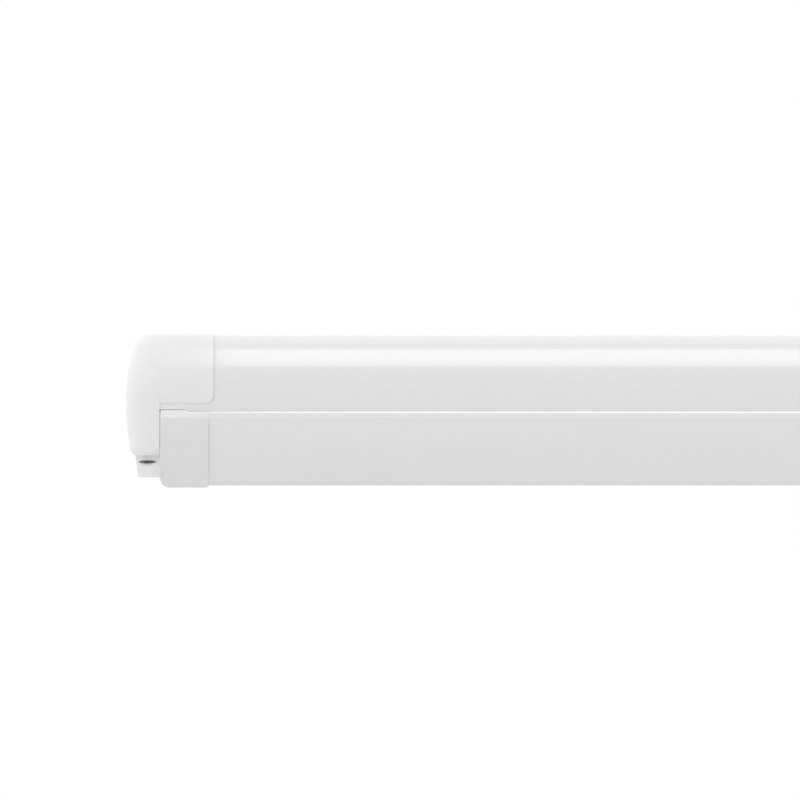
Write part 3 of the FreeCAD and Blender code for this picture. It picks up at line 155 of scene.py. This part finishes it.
class Signal:
    """One output of a material's nodes, so that shader maths reads as ordinary arithmetic."""

    def __init__(self, finish, socket):
        self.finish = finish
        self.socket = socket

    def maths(self, operation, first, second=0.0):
        return self.finish.node("ShaderNodeMath", {"operation": operation}, {0: first, 1: second})

    def __add__(self, other):
        return self.maths("ADD", self, other)

    def __radd__(self, other):
        return self.maths("ADD", other, self)

    def __sub__(self, other):
        return self.maths("SUBTRACT", self, other)

    def __rsub__(self, other):
        return self.maths("SUBTRACT", other, self)

    def __mul__(self, other):
        return self.maths("MULTIPLY", self, other)

    def __rmul__(self, other):
        return self.maths("MULTIPLY", other, self)

    def sine(self):
        return self.maths("SINE", self)

    def between(self, low, high):
        """0 below low, 1 above high and a smooth step from one to the other."""
        inputs = {"Value": self, "From Min": low, "From Max": high}
        return self.finish.node("ShaderNodeMapRange", {"interpolation_type": "SMOOTHSTEP"}, inputs)


class Finish:
    """A material under construction: a Principled shader and the nodes that vary it."""

    def __init__(self, name):
        self.material = bpy.data.materials.new(name)
        self.material.use_nodes = True
        self.tree = self.material.node_tree
        self.tree.nodes.clear()
        self.output = self.tree.nodes.new("ShaderNodeOutputMaterial")
        self.shader = self.tree.nodes.new("ShaderNodeBsdfPrincipled")
        self.tree.links.new(self.shader.outputs[0], self.output.inputs[0])
        self.object_point = self.node("ShaderNodeTexCoord", {}, {}, "Object")

    def node(self, kind, settings, inputs, out=0):
        """Makes a node: its settings first, then the values or links of its sockets. Gives one output."""
        made = self.tree.nodes.new(kind)
        for key, value in settings.items():
            setattr(made, key, value)
        for key, value in inputs.items():
            socket = made.inputs[key]
            if isinstance(value, Signal):
                self.tree.links.new(value.socket, socket)
            else:
                socket.default_value = value
        return Signal(self, made.outputs[out])

    def spread(self, stretch):
        """Object coordinates stretched by a factor along each axis."""
        return self.node("ShaderNodeMapping", {}, {"Vector": self.object_point, "Scale": stretch})

    def axis(self, name):
        """One of the object coordinates, in metres."""
        return self.node("ShaderNodeSeparateXYZ", {}, {0: self.object_point}, name)

    def noise(self, scale, detail=3.0, roughness=0.55, where=None):
        """Soft noise from 0 to 1 whose grains are about 1 / scale metres wide."""
        point = where or self.object_point
        inputs = {"Vector": point, "Scale": scale, "Detail": detail, "Roughness": roughness}
        return self.node("ShaderNodeTexNoise", {}, inputs)

    def cell_colours(self, scale):
        """Irregular cells about 1 / scale metres wide, each with a colour of its own."""
        return self.node("ShaderNodeTexVoronoi", {}, {"Vector": self.object_point, "Scale": scale}, "Color")

    def mixed(self, share, first, second):
        """A colour between two others."""
        inputs = {0: share, 6: first, 7: second}
        return self.node("ShaderNodeMix", {"data_type": "RGBA"}, inputs, 2)

    def bump(self, height, distance, strength):
        """Relief from a height of 0 to 1 that stands for a distance in metres."""
        return self.node("ShaderNodeBump", {}, {"Strength": strength, "Distance": distance, "Height": height})

    def edges(self, radius):
        """1 on convex edges and 0 on flat faces, from the bend of the surface within a radius."""
        bent = self.node("ShaderNodeBevel", {"samples": 4}, {"Radius": radius})
        plain = self.node("ShaderNodeNewGeometry", {}, {}, "Normal")
        product = {"operation": "DOT_PRODUCT"}
        likeness = self.node("ShaderNodeVectorMath", product, {0: bent, 1: plain}, "Value")
        return 1 - likeness

    def paint(self, colour, roughness, normal=None, metallic=0.0, **constants):
        """Connects what varies and sets what is the same all over."""
        sockets = {"Base Color": colour, "Roughness": roughness, "Metallic": metallic}
        if normal is not None:
            sockets["Normal"] = normal
        for key, value in constants.items():
            sockets[key.replace("_", " ")] = value
        for key, value in sockets.items():
            if isinstance(value, Signal):
                self.tree.links.new(value.socket, self.shader.inputs[key])
            else:
                self.shader.inputs[key].default_value = value
        return self.material


def grey(level):
    """A neutral colour."""
    return (level, level, level, 1.0)


def shade(colour, factor):
    """A colour made lighter or darker by a factor."""
    return (colour[0] * factor, colour[1] * factor, colour[2] * factor, 1.0)


# Finishes


def powder_coat(name, colour, roughness):
    """Glossy white powder coat: faint orange peel, cloudy gloss and dust in thin streaks."""
    f = Finish(name)
    cloud = f.noise(7.0, 4.0)
    fine = f.noise(420.0, 2.0, 0.5)
    streak = f.noise(1.0, 3.0, 0.6, f.spread((3.0, 60.0, 60.0)))
    dust = (streak.between(0.58, 0.78) * 0.5 + cloud.between(0.55, 0.75) * 0.5) * 0.45
    base = f.mixed(dust, colour, shade(colour, 0.955))
    gloss = roughness + cloud * 0.04 + dust * 0.12
    return f.paint(base, gloss, f.bump(fine, 0.00004, 0.35), IOR=1.5, Coat_Weight=0.25, Coat_Roughness=0.06)


def moulded_gloss(name, colour, roughness):
    """Gloss moulded plastic: fine spark texture, faint flow lines and a slightly uneven sheen."""
    f = Finish(name)
    spark = f.noise(1500.0, 2.0, 0.7)
    flow = f.noise(9.0, 3.0, 0.5, f.spread((0.6, 1.0, 2.4)))
    base = f.mixed(flow * 0.5, colour, shade(colour, 0.97))
    gloss = roughness + flow * 0.06 + spark * 0.04
    return f.paint(base, gloss, f.bump(spark, 0.00003, 0.3), IOR=1.49)


def extruded_metal(name, colour, roughness):
    """Anodised or mill-finish extrusion: die lines along X and a cloudy sheen."""
    f = Finish(name)
    lines = f.noise(1.0, 4.0, 0.65, f.spread((4.0, 1600.0, 1600.0)))
    cloud = f.noise(14.0, 3.0)
    base = f.mixed(lines * 0.6, colour, shade(colour, 0.82))
    gloss = roughness + lines * 0.12 + cloud * 0.08
    return f.paint(base, gloss, f.bump(lines, 0.00005, 0.4), 0.9)


def cast_metal(name, colour, roughness, metallic):
    """Casting: pebbled skin, darker in cloudy patches, smoother and brighter on its edges."""
    f = Finish(name)
    pebble = f.noise(520.0, 3.0, 0.6)
    cloud = f.noise(40.0, 3.0)
    rubbed = f.edges(0.0012).between(0.02, 0.25)
    base = f.mixed(rubbed * 0.6, f.mixed(cloud * 0.5, colour, shade(colour, 0.86)), shade(colour, 1.08))
    gloss = roughness + pebble * 0.15 - rubbed * 0.1
    return f.paint(base, gloss, f.bump(pebble, 0.00018, 0.5), metallic)


def zinc_plate(name, colour, roughness):
    """Zinc-plated steel: pale spangle cells, each with its own tone and sheen."""
    f = Finish(name)
    tone = f.node("ShaderNodeSeparateColor", {}, {0: f.cell_colours(240.0)}, 0)
    grain = f.noise(900.0, 3.0)
    base = f.mixed(tone * 0.6 + grain * 0.2, shade(colour, 0.8), colour)
    gloss = roughness + tone * 0.12 + grain * 0.08
    return f.paint(base, gloss, f.bump(grain, 0.00004, 0.3), 1.0)


def turned_steel(name, colour, roughness):
    """Turned stainless steel: fine rings across the pin's length and light scratches."""
    f = Finish(name)
    ring = f.noise(1.0, 2.0, 0.6, f.spread((60.0, 60.0, 3200.0)))
    scratch = f.noise(260.0, 4.0, 0.7)
    base = f.mixed(ring * 0.5 + scratch * 0.3, colour, shade(colour, 0.72))
    return f.paint(base, roughness + ring * 0.12 + scratch * 0.1, f.bump(ring, 0.00003, 0.4), 1.0)


def satin_plastic(name, colour, roughness):
    """Satin moulded plastic: fine grain, greyer where hands and edges wear it."""
    f = Finish(name)
    grain = f.noise(1100.0, 3.0, 0.7)
    cloud = f.noise(30.0, 3.0)
    rubbed = f.edges(0.001).between(0.03, 0.3)
    base = f.mixed(cloud * 0.35 + rubbed * 0.4, colour, shade(colour, 1.35))
    gloss = roughness + grain * 0.12 - rubbed * 0.08
    return f.paint(base, gloss, f.bump(grain, 0.00006, 0.5), IOR=1.5)


def soft_rubber(name, colour):
    """Extruded rubber: matt, with a dusty bloom and fine lines along its length."""
    f = Finish(name)
    lines = f.noise(1.0, 3.0, 0.6, f.spread((6.0, 1400.0, 1400.0)))
    bloom = f.noise(60.0, 4.0, 0.6)
    base = f.mixed(bloom.between(0.45, 0.7) * 0.5, colour, shade(colour, 1.25))
    return f.paint(base, 0.62 + bloom * 0.15, f.bump(lines, 0.00006, 0.4), IOR=1.45)


def woven_cloth(name, colour):
    """Coated canopy cloth: a fine plain weave, yarns of slightly different tone, and faint mottling."""
    f = Finish(name)
    yarn = 2 * math.pi / YARN_PITCH
    along_run = f.axis("Y")
    across = f.axis("X")
    warp = (across * yarn).sine() * 0.5 + 0.5
    weft = (along_run * yarn).sine() * 0.5 + 0.5
    weave = warp * (1 - weft) + weft * (1 - warp)
    tone = f.noise(1.0, 2.0, 0.5, f.spread((700.0, 6.0, 6.0)))
    mottle = f.noise(11.0, 4.0, 0.6)
    base = f.mixed(tone * 0.6, shade(colour, 0.88), shade(colour, 1.1))
    base = f.mixed((1 - weave) * 0.25 + mottle * 0.15, base, shade(colour, 0.7))
    relief = f.bump(weave, 0.00012, 0.6)
    return f.paint(base, 0.6 + mottle * 0.1, relief, Sheen_Weight=0.12, Sheen_Roughness=0.5)


def nylon_cord(name, colour):
    """Extruded plastic cord: smooth and slightly wavy in its gloss."""
    f = Finish(name)
    wave = f.noise(90.0, 3.0)
    base = f.mixed(wave * 0.4, colour, shade(colour, 0.9))
    return f.paint(base, 0.38 + wave * 0.15, f.bump(wave, 0.00008, 0.4))


# Surfaces


def grid_mesh(name, points, round_v=False, closed=False):
    """A mesh from points [u, v, 3]: each square of neighbours is a face, and v may run round."""
    rows, columns = points.shape[:2]
    index = np.arange(rows * columns).reshape(rows, columns)
    if round_v:
        index = np.hstack([index, index[:, :1]])
    corners = np.stack([index[:-1, :-1], index[1:, :-1], index[1:, 1:], index[:-1, 1:]], axis=-1)
    faces = corners.reshape(-1, 4)
    if closed:
        faces = np.concatenate([faces, closed_ends(rows, columns)])
    mesh = bpy.data.meshes.new(name)
    mesh.from_pydata(points.reshape(-1, 3), [], faces.tolist())
    mesh.shade_smooth()
    return mesh


def show(name, mesh, finish_slot):
    """Puts a mesh into the scene at the origin and gives it the finish of a material slot."""
    made = bpy.data.objects.new(name, mesh)
    bpy.context.scene.collection.objects.link(made)
    mesh.materials.append(bpy.data.materials[finish_slot])
    return made


def thickened(outline, thickness):
    """A closed strip around a line of points [n, 2]: each side lies half the thickness from the line."""
    along = np.gradient(outline, axis=0)
    along /= np.linalg.norm(along, axis=1, keepdims=True)
    side = np.stack([-along[:, 1], along[:, 0]], axis=1) * thickness / 2
    return np.concatenate([outline + side, (outline - side)[::-1]])


def carried(outline, x_0, x_1, steps):
    """A section [n, 2] in (y, z) carried along X in even steps."""
    points = np.empty((steps, len(outline), 3))
    points[..., 0] = np.linspace(x_0, x_1, steps)[:, None]
    points[..., 1:] = outline[None]
    return points


def closed_ends(rows, columns):
    """Faces over both ends of a carried strip: each joins the strip's one side to its other side."""
    near = np.arange(columns // 2 - 1)
    across = columns - 1 - near
    first = np.stack([near, near + 1, across - 1, across], axis=1)
    last = first[:, ::-1] + (rows - 1) * columns
    return np.concatenate([first, last])


# User-facing sizes and colours


class AwningColours(bpy.types.PropertyGroup):
    """Colours of the awning's finishes."""

    cover: FloatVectorProperty(
        name="Cover", description="Powder coat of the cover, case and lead rail", subtype="COLOR",
        size=4, min=0, max=1, default=grey(0.82)
    )
    cap: FloatVectorProperty(
        name="Caps", description="Moulded plastic of the end caps", subtype="COLOR",
        size=4, min=0, max=1, default=grey(0.8)
    )
    cloth: FloatVectorProperty(
        name="Cloth", description="Canopy cloth", subtype="COLOR", size=4, min=0, max=1, default=grey(0.33)
    )


class AwningStage(bpy.types.PropertyGroup):
    """Light, floor and camera."""

    view_width: FloatProperty(
        name="View width", description="Width of the view at the front cover", unit="LENGTH", default=0.72
    )
    view_x: FloatProperty(
        name="View X", description="Middle of the view along the awning", unit="LENGTH", default=-1.05295
    )
    view_z: FloatProperty(
        name="View height", description="Middle of the view in height", unit="LENGTH", default=0.0035
    )
    lens: FloatProperty(name="Lens", description="Focal length in millimetres", default=900.0)
    ambient: FloatProperty(name="Ambient", description="Strength of the light from all round", default=0.82)
    lean: FloatVectorProperty(
        name="Lean", description="How much stronger the light is along each axis",
        size=3, default=(-0.35, 0, 0.2)
    )
    gloss_lean: FloatVectorProperty(
        name="Gloss lean", description="The same for what the gloss mirrors", size=3, default=(0, 0, 0.3)
    )
    strip: FloatProperty(name="Strip light", description="Radiance of the overhead strips", default=5.6)
    strip_end: FloatProperty(
        name="Strip end", description="Where the strips begin along X", unit="LENGTH", default=-1.222
    )
    floor_drop: FloatProperty(
        name="Floor", description="Depth of the floor below the wall screws", unit="LENGTH", default=2.6
    )


class AWNING_OT_finishes(bpy.types.Operator):
    """Gives every CAD node the finish of its material slot."""

    bl_idname = "awning.finishes"
    bl_label = "Finishes"

    def execute(self, context):
        colours = context.scene.awning_colours
        slots = finish_table(tuple(colours.cover), tuple(colours.cap), tuple(colours.cloth))
        for part in frame["record"]["subparts"]:
            mesh = frame["nodes"][part["node"]].data
            mesh.materials.clear()
            mesh.materials.append(slots[part["material_slot"]])
        return {"FINISHED"}


def finish_table(cover, cap, cloth):
    """One finish for each material slot of the record."""
    return {
        "cover_enamel": powder_coat("cover_enamel", cover, 0.14),
        "case_enamel": powder_coat("case_enamel", shade(cover, 0.99), 0.2),
        "cap_plastic": moulded_gloss("cap_plastic", cap, 0.3),
        "seal_rubber": soft_rubber("seal_rubber", grey(0.82)),
        "zinc_steel": zinc_plate("zinc_steel", grey(0.62), 0.28),
        "pin_steel": turned_steel("pin_steel", grey(0.6), 0.22),
        "plate_casting": cast_metal("plate_casting", grey(0.62), 0.38, 1.0),
        "bearing_plastic": satin_plastic("bearing_plastic", grey(0.03), 0.42),
        "mill_aluminium": extruded_metal("mill_aluminium", grey(0.72), 0.3),
        "canopy_cloth": woven_cloth("canopy_cloth", cloth),
        "bead_plastic": nylon_cord("bead_plastic", grey(0.7)),
        "arm_enamel": powder_coat("arm_enamel", shade(cover, 0.97), 0.24),
        "arm_casting": cast_metal("arm_casting", shade(cover, 0.93), 0.34, 0.0),
        "leg_aluminium": extruded_metal("leg_aluminium", grey(0.74), 0.28),
        "leg_plastic": satin_plastic("leg_plastic", grey(0.09), 0.4),
    }


class AWNING_OT_canopy(bpy.types.Operator):
    """Makes the cloth: the wound part on the roller and the lead that runs out to the lead rail."""

    bl_idname = "awning.canopy"
    bl_label = "Canopy"

    def execute(self, context):
        wound_cloth()
        lead_cloth()
        return {"FINISHED"}


def roll_middle():
    """Middle of the roll in (y, z)."""
    return np.array([(ROLL_LOW.y + ROLL_HIGH.y) / 2, (ROLL_LOW.z + ROLL_HIGH.z) / 2])


def show_cloth(name, points):
    """Puts a closed strip of cloth into the scene."""
    return show(name, grid_mesh(name, points, round_v=True, closed=True), "canopy_cloth")


def wound_cloth():
    """Spiral of cloth: the radius grows by one thickness each turn, up to where the lead leaves it."""
    outer = (ROLL_HIGH.z - ROLL_LOW.z) / 2 - CLOTH_THICKNESS / 2
    inner = (TUBE_HIGH.z - TUBE_LOW.z) / 2 + CLOTH_THICKNESS / 2
    turns = (outer - inner) / CLOTH_THICKNESS
    angle = np.linspace(-2 * math.pi * turns, 0, int(turns * TURN_POINTS)) - PITCH
    radius = np.linspace(inner, outer, len(angle))
    spiral = roll_middle() - radius[:, None] * np.stack([np.sin(angle), np.cos(angle)], axis=1)
    section_line = thickened(spiral, CLOTH_THICKNESS * 0.8)
    roll = show_cloth("canopy_wound", carried(section_line, ROLL_LOW.x, ROLL_HIGH.x, ROLL_STEPS))
    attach(roll, "roller")
    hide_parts("fabric_roll")


def lead_cloth():
    """Strip of cloth from the roll to the hem.

    Its line is straight but for a sag of LEAD_SAG * sin(pi s)^2 and a ripple sin(11 x) + 0.6 sin(27 x + 1).
    """
    radius = (ROLL_HIGH.z - ROLL_LOW.z) / 2 - CLOTH_THICKNESS / 2
    foot = roll_middle() + radius * np.array([math.sin(PITCH), -math.cos(PITCH)])
    run = (foot[0] - LEAD_LOW.y) / math.cos(PITCH)
    share = np.linspace(0, 1, LEAD_ROWS)
    line = foot + np.outer(share * run, [-math.cos(PITCH), -math.sin(PITCH)])
    line[:, 1] -= LEAD_SAG * np.sin(math.pi * share) ** 2
    points = carried(thickened(line, CLOTH_THICKNESS * 0.8), LEAD_LOW.x, LEAD_HIGH.x, LEAD_STEPS)
    fade = np.sin(math.pi * np.concatenate([share, share[::-1]])) ** 2
    x = points[:, 0, 0]
    points[..., 2] += LEAD_RIPPLE * np.outer(np.sin(x * 11.0) + 0.6 * np.sin(x * 27.0 + 1), fade)
    lead = show_cloth("canopy_lead", points)
    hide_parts("fabric_lead")
    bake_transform(lead)


class AWNING_OT_caps(bpy.types.Operator):
    """Makes the side caps with bowed outer ends, and the collar in the mouth for the crank hook."""

    bl_idname = "awning.caps"
    bl_label = "Side caps"

    def execute(self, context):
        for side in ("left", "right"):
            cap = show("bowed_cap_" + side, bowed_mesh("side_cap_" + side), "cap_plastic")
            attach(cap, "housing")
            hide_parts("side_cap_" + side)
        mouth_collar()
        return {"FINISHED"}


def bowed_mesh(node):
    """Copy of a cap's mesh whose skin sinks by r - sqrt(r^2 - run^2) to the middle, with run along X."""
    mesh = sliced_copy(frame["nodes"][node])
    points = np.empty(len(mesh.vertices) * 3)
    mesh.vertices.foreach_get("co", points)
    points = points.reshape(-1, 3)
    run = np.clip(np.abs(points[:, 0]) - (CAD_BOX[1].x - CAP_LENGTH), 0, CAP_LENGTH)
    sunk = BOW_RADIUS - np.sqrt(BOW_RADIUS ** 2 - run ** 2)
    forward = np.maximum(-points[:, 1] - BOW_CENTRE[0], 0)
    upward = np.maximum(points[:, 2] - TOP + BOW_CENTRE[1], 0)
    reach = np.hypot(forward, upward)
    share = sunk * np.minimum(reach / BOW_CORE, 1) / np.maximum(reach, TINY)
    points[:, 1] += forward * share
    points[:, 2] -= upward * share
    mesh.vertices.foreach_set("co", points.ravel())
    mesh.update()
    mesh.set_sharp_from_angle(angle=CAP_CREASE)
    return mesh


def sliced_copy(made):
    """Copy of an object's mesh, its doubled points merged, cut across X along both outer ends."""
    work = bmesh.new()
    work.from_mesh(made.data)
    bmesh.ops.transform(work, matrix=made.matrix_world, verts=work.verts)
    bmesh.ops.remove_doubles(work, verts=work.verts, dist=TINY)
    bmesh.ops.dissolve_limit(work, angle_limit=FLAT_ANGLE, verts=work.verts, edges=work.edges)
    ends = np.linspace(CAD_BOX[1].x - CAP_LENGTH, CAD_BOX[1].x, CAP_SLICES, endpoint=False)
    for x in (*ends, *-ends):
        everything = [*work.verts, *work.edges, *work.faces]
        plane = {"plane_co": (x, 0, 0), "plane_no": (1, 0, 0)}
        bmesh.ops.bisect_plane(work, geom=everything, dist=TINY / 10, **plane)
    mesh = bpy.data.meshes.new(made.name + "_sliced")
    work.to_mesh(mesh)
    work.free()
    if "custom_normal" in mesh.attributes:
        mesh.attributes.remove(mesh.attributes["custom_normal"])
    mesh.shade_smooth()
    return mesh


def mouth_collar():
    """Collar inside the left cap's mouth: a lens (w cos t, h sin t |sin t|) that narrows as it goes in."""
    turn = np.linspace(0, 2 * math.pi, COLLAR_POINTS, endpoint=False)
    rows = []
    for depth, share in COLLAR_STEPS:
        row = np.empty((len(turn), 3))
        row[:, 0] = -MOUTH_X + np.cos(turn) * (MOUTH_SIZE[0] - MOUTH_SIZE[1] * (1 - share))
        row[:, 1] = -depth
        row[:, 2] = TOP - MOUTH_DROP + np.sin(turn) * np.abs(np.sin(turn)) * MOUTH_SIZE[1] * share
        rows.append(row)
    collar = show("mouth_collar", grid_mesh("mouth_collar", np.array(rows), round_v=True), "cap_plastic")
    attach(collar, "housing")


class AWNING_OT_lips(bpy.types.Operator):
    """Makes the lip along the lead rail's upper edge and the thin pads on the rail caps' outer faces."""

    bl_idname = "awning.lips"
    bl_label = "Lips"

    def execute(self, context):
        show_on_rail("rail_lip", lip_points())
        for side, name in ((-1, "rail_pad_left"), (1, "rail_pad_right")):
            ends = sorted((side * PAD_X[0], side * PAD_X[1]))
            show_on_rail(name, carried(section(PAD_SECTION), *ends, 2))
        return {"FINISHED"}


def show_on_rail(name, points):
    """Puts a carried strip on the lead rail."""
    made = show(name, grid_mesh(name, points, round_v=True, closed=True), "case_enamel")
    made.data.set_sharp_from_angle(angle=LIP_CREASE)
    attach(made, "lead_rail")


def section(corners):
    """A section given as (depth, drop) turned into (y, z)."""
    corners = np.array(corners)
    return np.stack([-corners[:, 0], TOP - corners[:, 1]], axis=1)


def lip_points():
    """A wedge carried along X, whose section changes evenly from each place of LIP_PLACES to the next."""
    places = np.array([place for place, shape in LIP_PLACES])
    shapes = np.array([section(LIP_SECTIONS[shape]) for place, shape in LIP_PLACES])
    points = np.empty((len(places), shapes.shape[1], 3))
    points[..., 0] = places[:, None]
    points[..., 1:] = shapes
    return points


class AWNING_OT_stage(bpy.types.Operator):
    """Makes the camera, the lights, the pale surroundings and the floor."""

    bl_idname = "awning.stage"
    bl_label = "Stage"

    def execute(self, context):
        stage = context.scene.awning_stage
        make_camera(stage)
        make_world(stage)
        make_lights(stage)
        make_floor(stage)
        context.scene.view_settings.view_transform = "Standard"
        return {"FINISHED"}


def make_camera(stage):
    """A long lens, square on to the front, so that the view is almost parallel."""
    data = bpy.data.cameras.new("camera")
    data.lens = stage.lens
    data.sensor_width = SENSOR_WIDTH
    distance = stage.view_width * data.lens / data.sensor_width
    camera = bpy.data.objects.new("camera", data)
    camera.location = (stage.view_x, CAD_BOX[0].y - distance, stage.view_z)
    camera.rotation_euler = (math.radians(90), 0, 0)
    data.clip_start = 0.1
    data.clip_end = distance + 100
    bpy.context.scene.collection.objects.link(camera)
    bpy.context.scene.camera = camera


def make_world(stage):
    """White to the camera; softer light on all else and in reflections, both stronger from above."""
    world = bpy.data.worlds.new("surroundings")
    world.use_nodes = True
    tree = world.node_tree
    tree.nodes.clear()

    def node(kind, operation=None):
        made = tree.nodes.new("ShaderNode" + kind)
        if operation:
            made.operation = operation
        return made

    path = node("LightPath")
    shown = node("Math", "MAXIMUM")
    clear = node("Math", "MAXIMUM")
    tree.links.new(path.outputs["Is Camera Ray"], shown.inputs[0])
    tree.links.new(path.outputs["Is Glossy Ray"], shown.inputs[1])
    tree.links.new(shown.outputs[0], clear.inputs[0])
    tree.links.new(path.outputs["Is Transmission Ray"], clear.inputs[1])

    direction = node("TexCoord")
    lean = node("VectorMath", "DOT_PRODUCT")
    steep = node("VectorMath", "DOT_PRODUCT")
    lean.inputs[1].default_value = stage.lean
    steep.inputs[1].default_value = stage.gloss_lean
    tree.links.new(direction.outputs["Generated"], lean.inputs[0])
    tree.links.new(direction.outputs["Generated"], steep.inputs[0])

    strength = node("Math", "ADD")
    strength.inputs[1].default_value = stage.ambient
    tree.links.new(lean.outputs["Value"], strength.inputs[0])
    mirrored = node("Math", "MULTIPLY_ADD")
    mirrored.inputs[2].default_value = 1.0
    tree.links.new(steep.outputs["Value"], mirrored.inputs[0])
    tree.links.new(path.outputs["Is Glossy Ray"], mirrored.inputs[1])

    lighting = node("Background")
    seen = node("Background")
    for background, level in ((lighting, strength), (seen, mirrored)):
        background.inputs[0].default_value = grey(1.0)
        tree.links.new(level.outputs[0], background.inputs[1])
    chosen = node("MixShader")
    tree.links.new(clear.outputs[0], chosen.inputs[0])
    tree.links.new(lighting.outputs[0], chosen.inputs[1])
    tree.links.new(seen.outputs[0], chosen.inputs[2])
    tree.links.new(chosen.outputs[0], node("OutputWorld").inputs[0])
    bpy.context.scene.world = world


def make_lights(stage):
    """Long strips above the front, wide and narrow, that show along the cover as a soft band."""
    for width, share in STRIPS:
        strip = bpy.data.lights.new("strip", "AREA")
        strip.shape = "RECTANGLE"
        strip.size = STRIP_LENGTH
        strip.size_y = width
        strip.energy = stage.strip * share * STRIP_LENGTH * width * math.pi
        lamp = bpy.data.objects.new("strip", strip)
        lamp.location = (stage.strip_end + STRIP_LENGTH / 2, CAD_BOX[0].y - STRIP_FORWARD, TOP + STRIP_RISE)
        lamp.visible_diffuse = False
        bpy.context.scene.collection.objects.link(lamp)


def make_floor(stage):
    """A pale floor below the reach of the support legs."""
    mesh = bpy.data.meshes.new("floor")
    signs = ((-1, -1), (1, -1), (1, 1), (-1, 1))
    corners = [(x * FLOOR_HALF, y * FLOOR_HALF, -stage.floor_drop) for x, y in signs]
    mesh.from_pydata(corners, [], [(0, 1, 2, 3)])
    floor = bpy.data.objects.new("floor", mesh)
    bpy.context.scene.collection.objects.link(floor)
    f = Finish("floor")
    cloud = f.noise(0.8)
    mesh.materials.append(f.paint(f.mixed(cloud * 0.3, grey(0.86), grey(0.83)), 0.75))


class AWNING_PT_panel(bpy.types.Panel):
    """Lists the awning's operators and settings."""

    bl_label = "Awning"
    bl_idname = "AWNING_PT_panel"
    bl_space_type = "VIEW_3D"
    bl_region_type = "UI"
    bl_category = "Awning"

    def draw(self, context):
        for operator in OPERATORS:
            self.layout.operator(operator.bl_idname)
        for group in (context.scene.awning_colours, context.scene.awning_stage):
            for name in group.__annotations__:
                self.layout.prop(group, name)


OPERATORS = (AWNING_OT_finishes, AWNING_OT_canopy, AWNING_OT_caps, AWNING_OT_lips, AWNING_OT_stage)
CLASSES = (AwningColours, AwningStage, *OPERATORS, AWNING_PT_panel)


def register():
    for made in CLASSES:
        bpy.utils.register_class(made)
    bpy.types.Scene.awning_colours = PointerProperty(type=AwningColours)
    bpy.types.Scene.awning_stage = PointerProperty(type=AwningStage)


def unregister():
    del bpy.types.Scene.awning_stage
    del bpy.types.Scene.awning_colours
    for made in reversed(CLASSES):
        bpy.utils.unregister_class(made)


def main():
    """Registers the add-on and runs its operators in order."""
    register()
    bpy.ops.awning.finishes()
    bpy.ops.awning.canopy()
    bpy.ops.awning.caps()
    bpy.ops.awning.lips()
    bpy.ops.awning.stage()


if __name__ == "__main__":
    main()
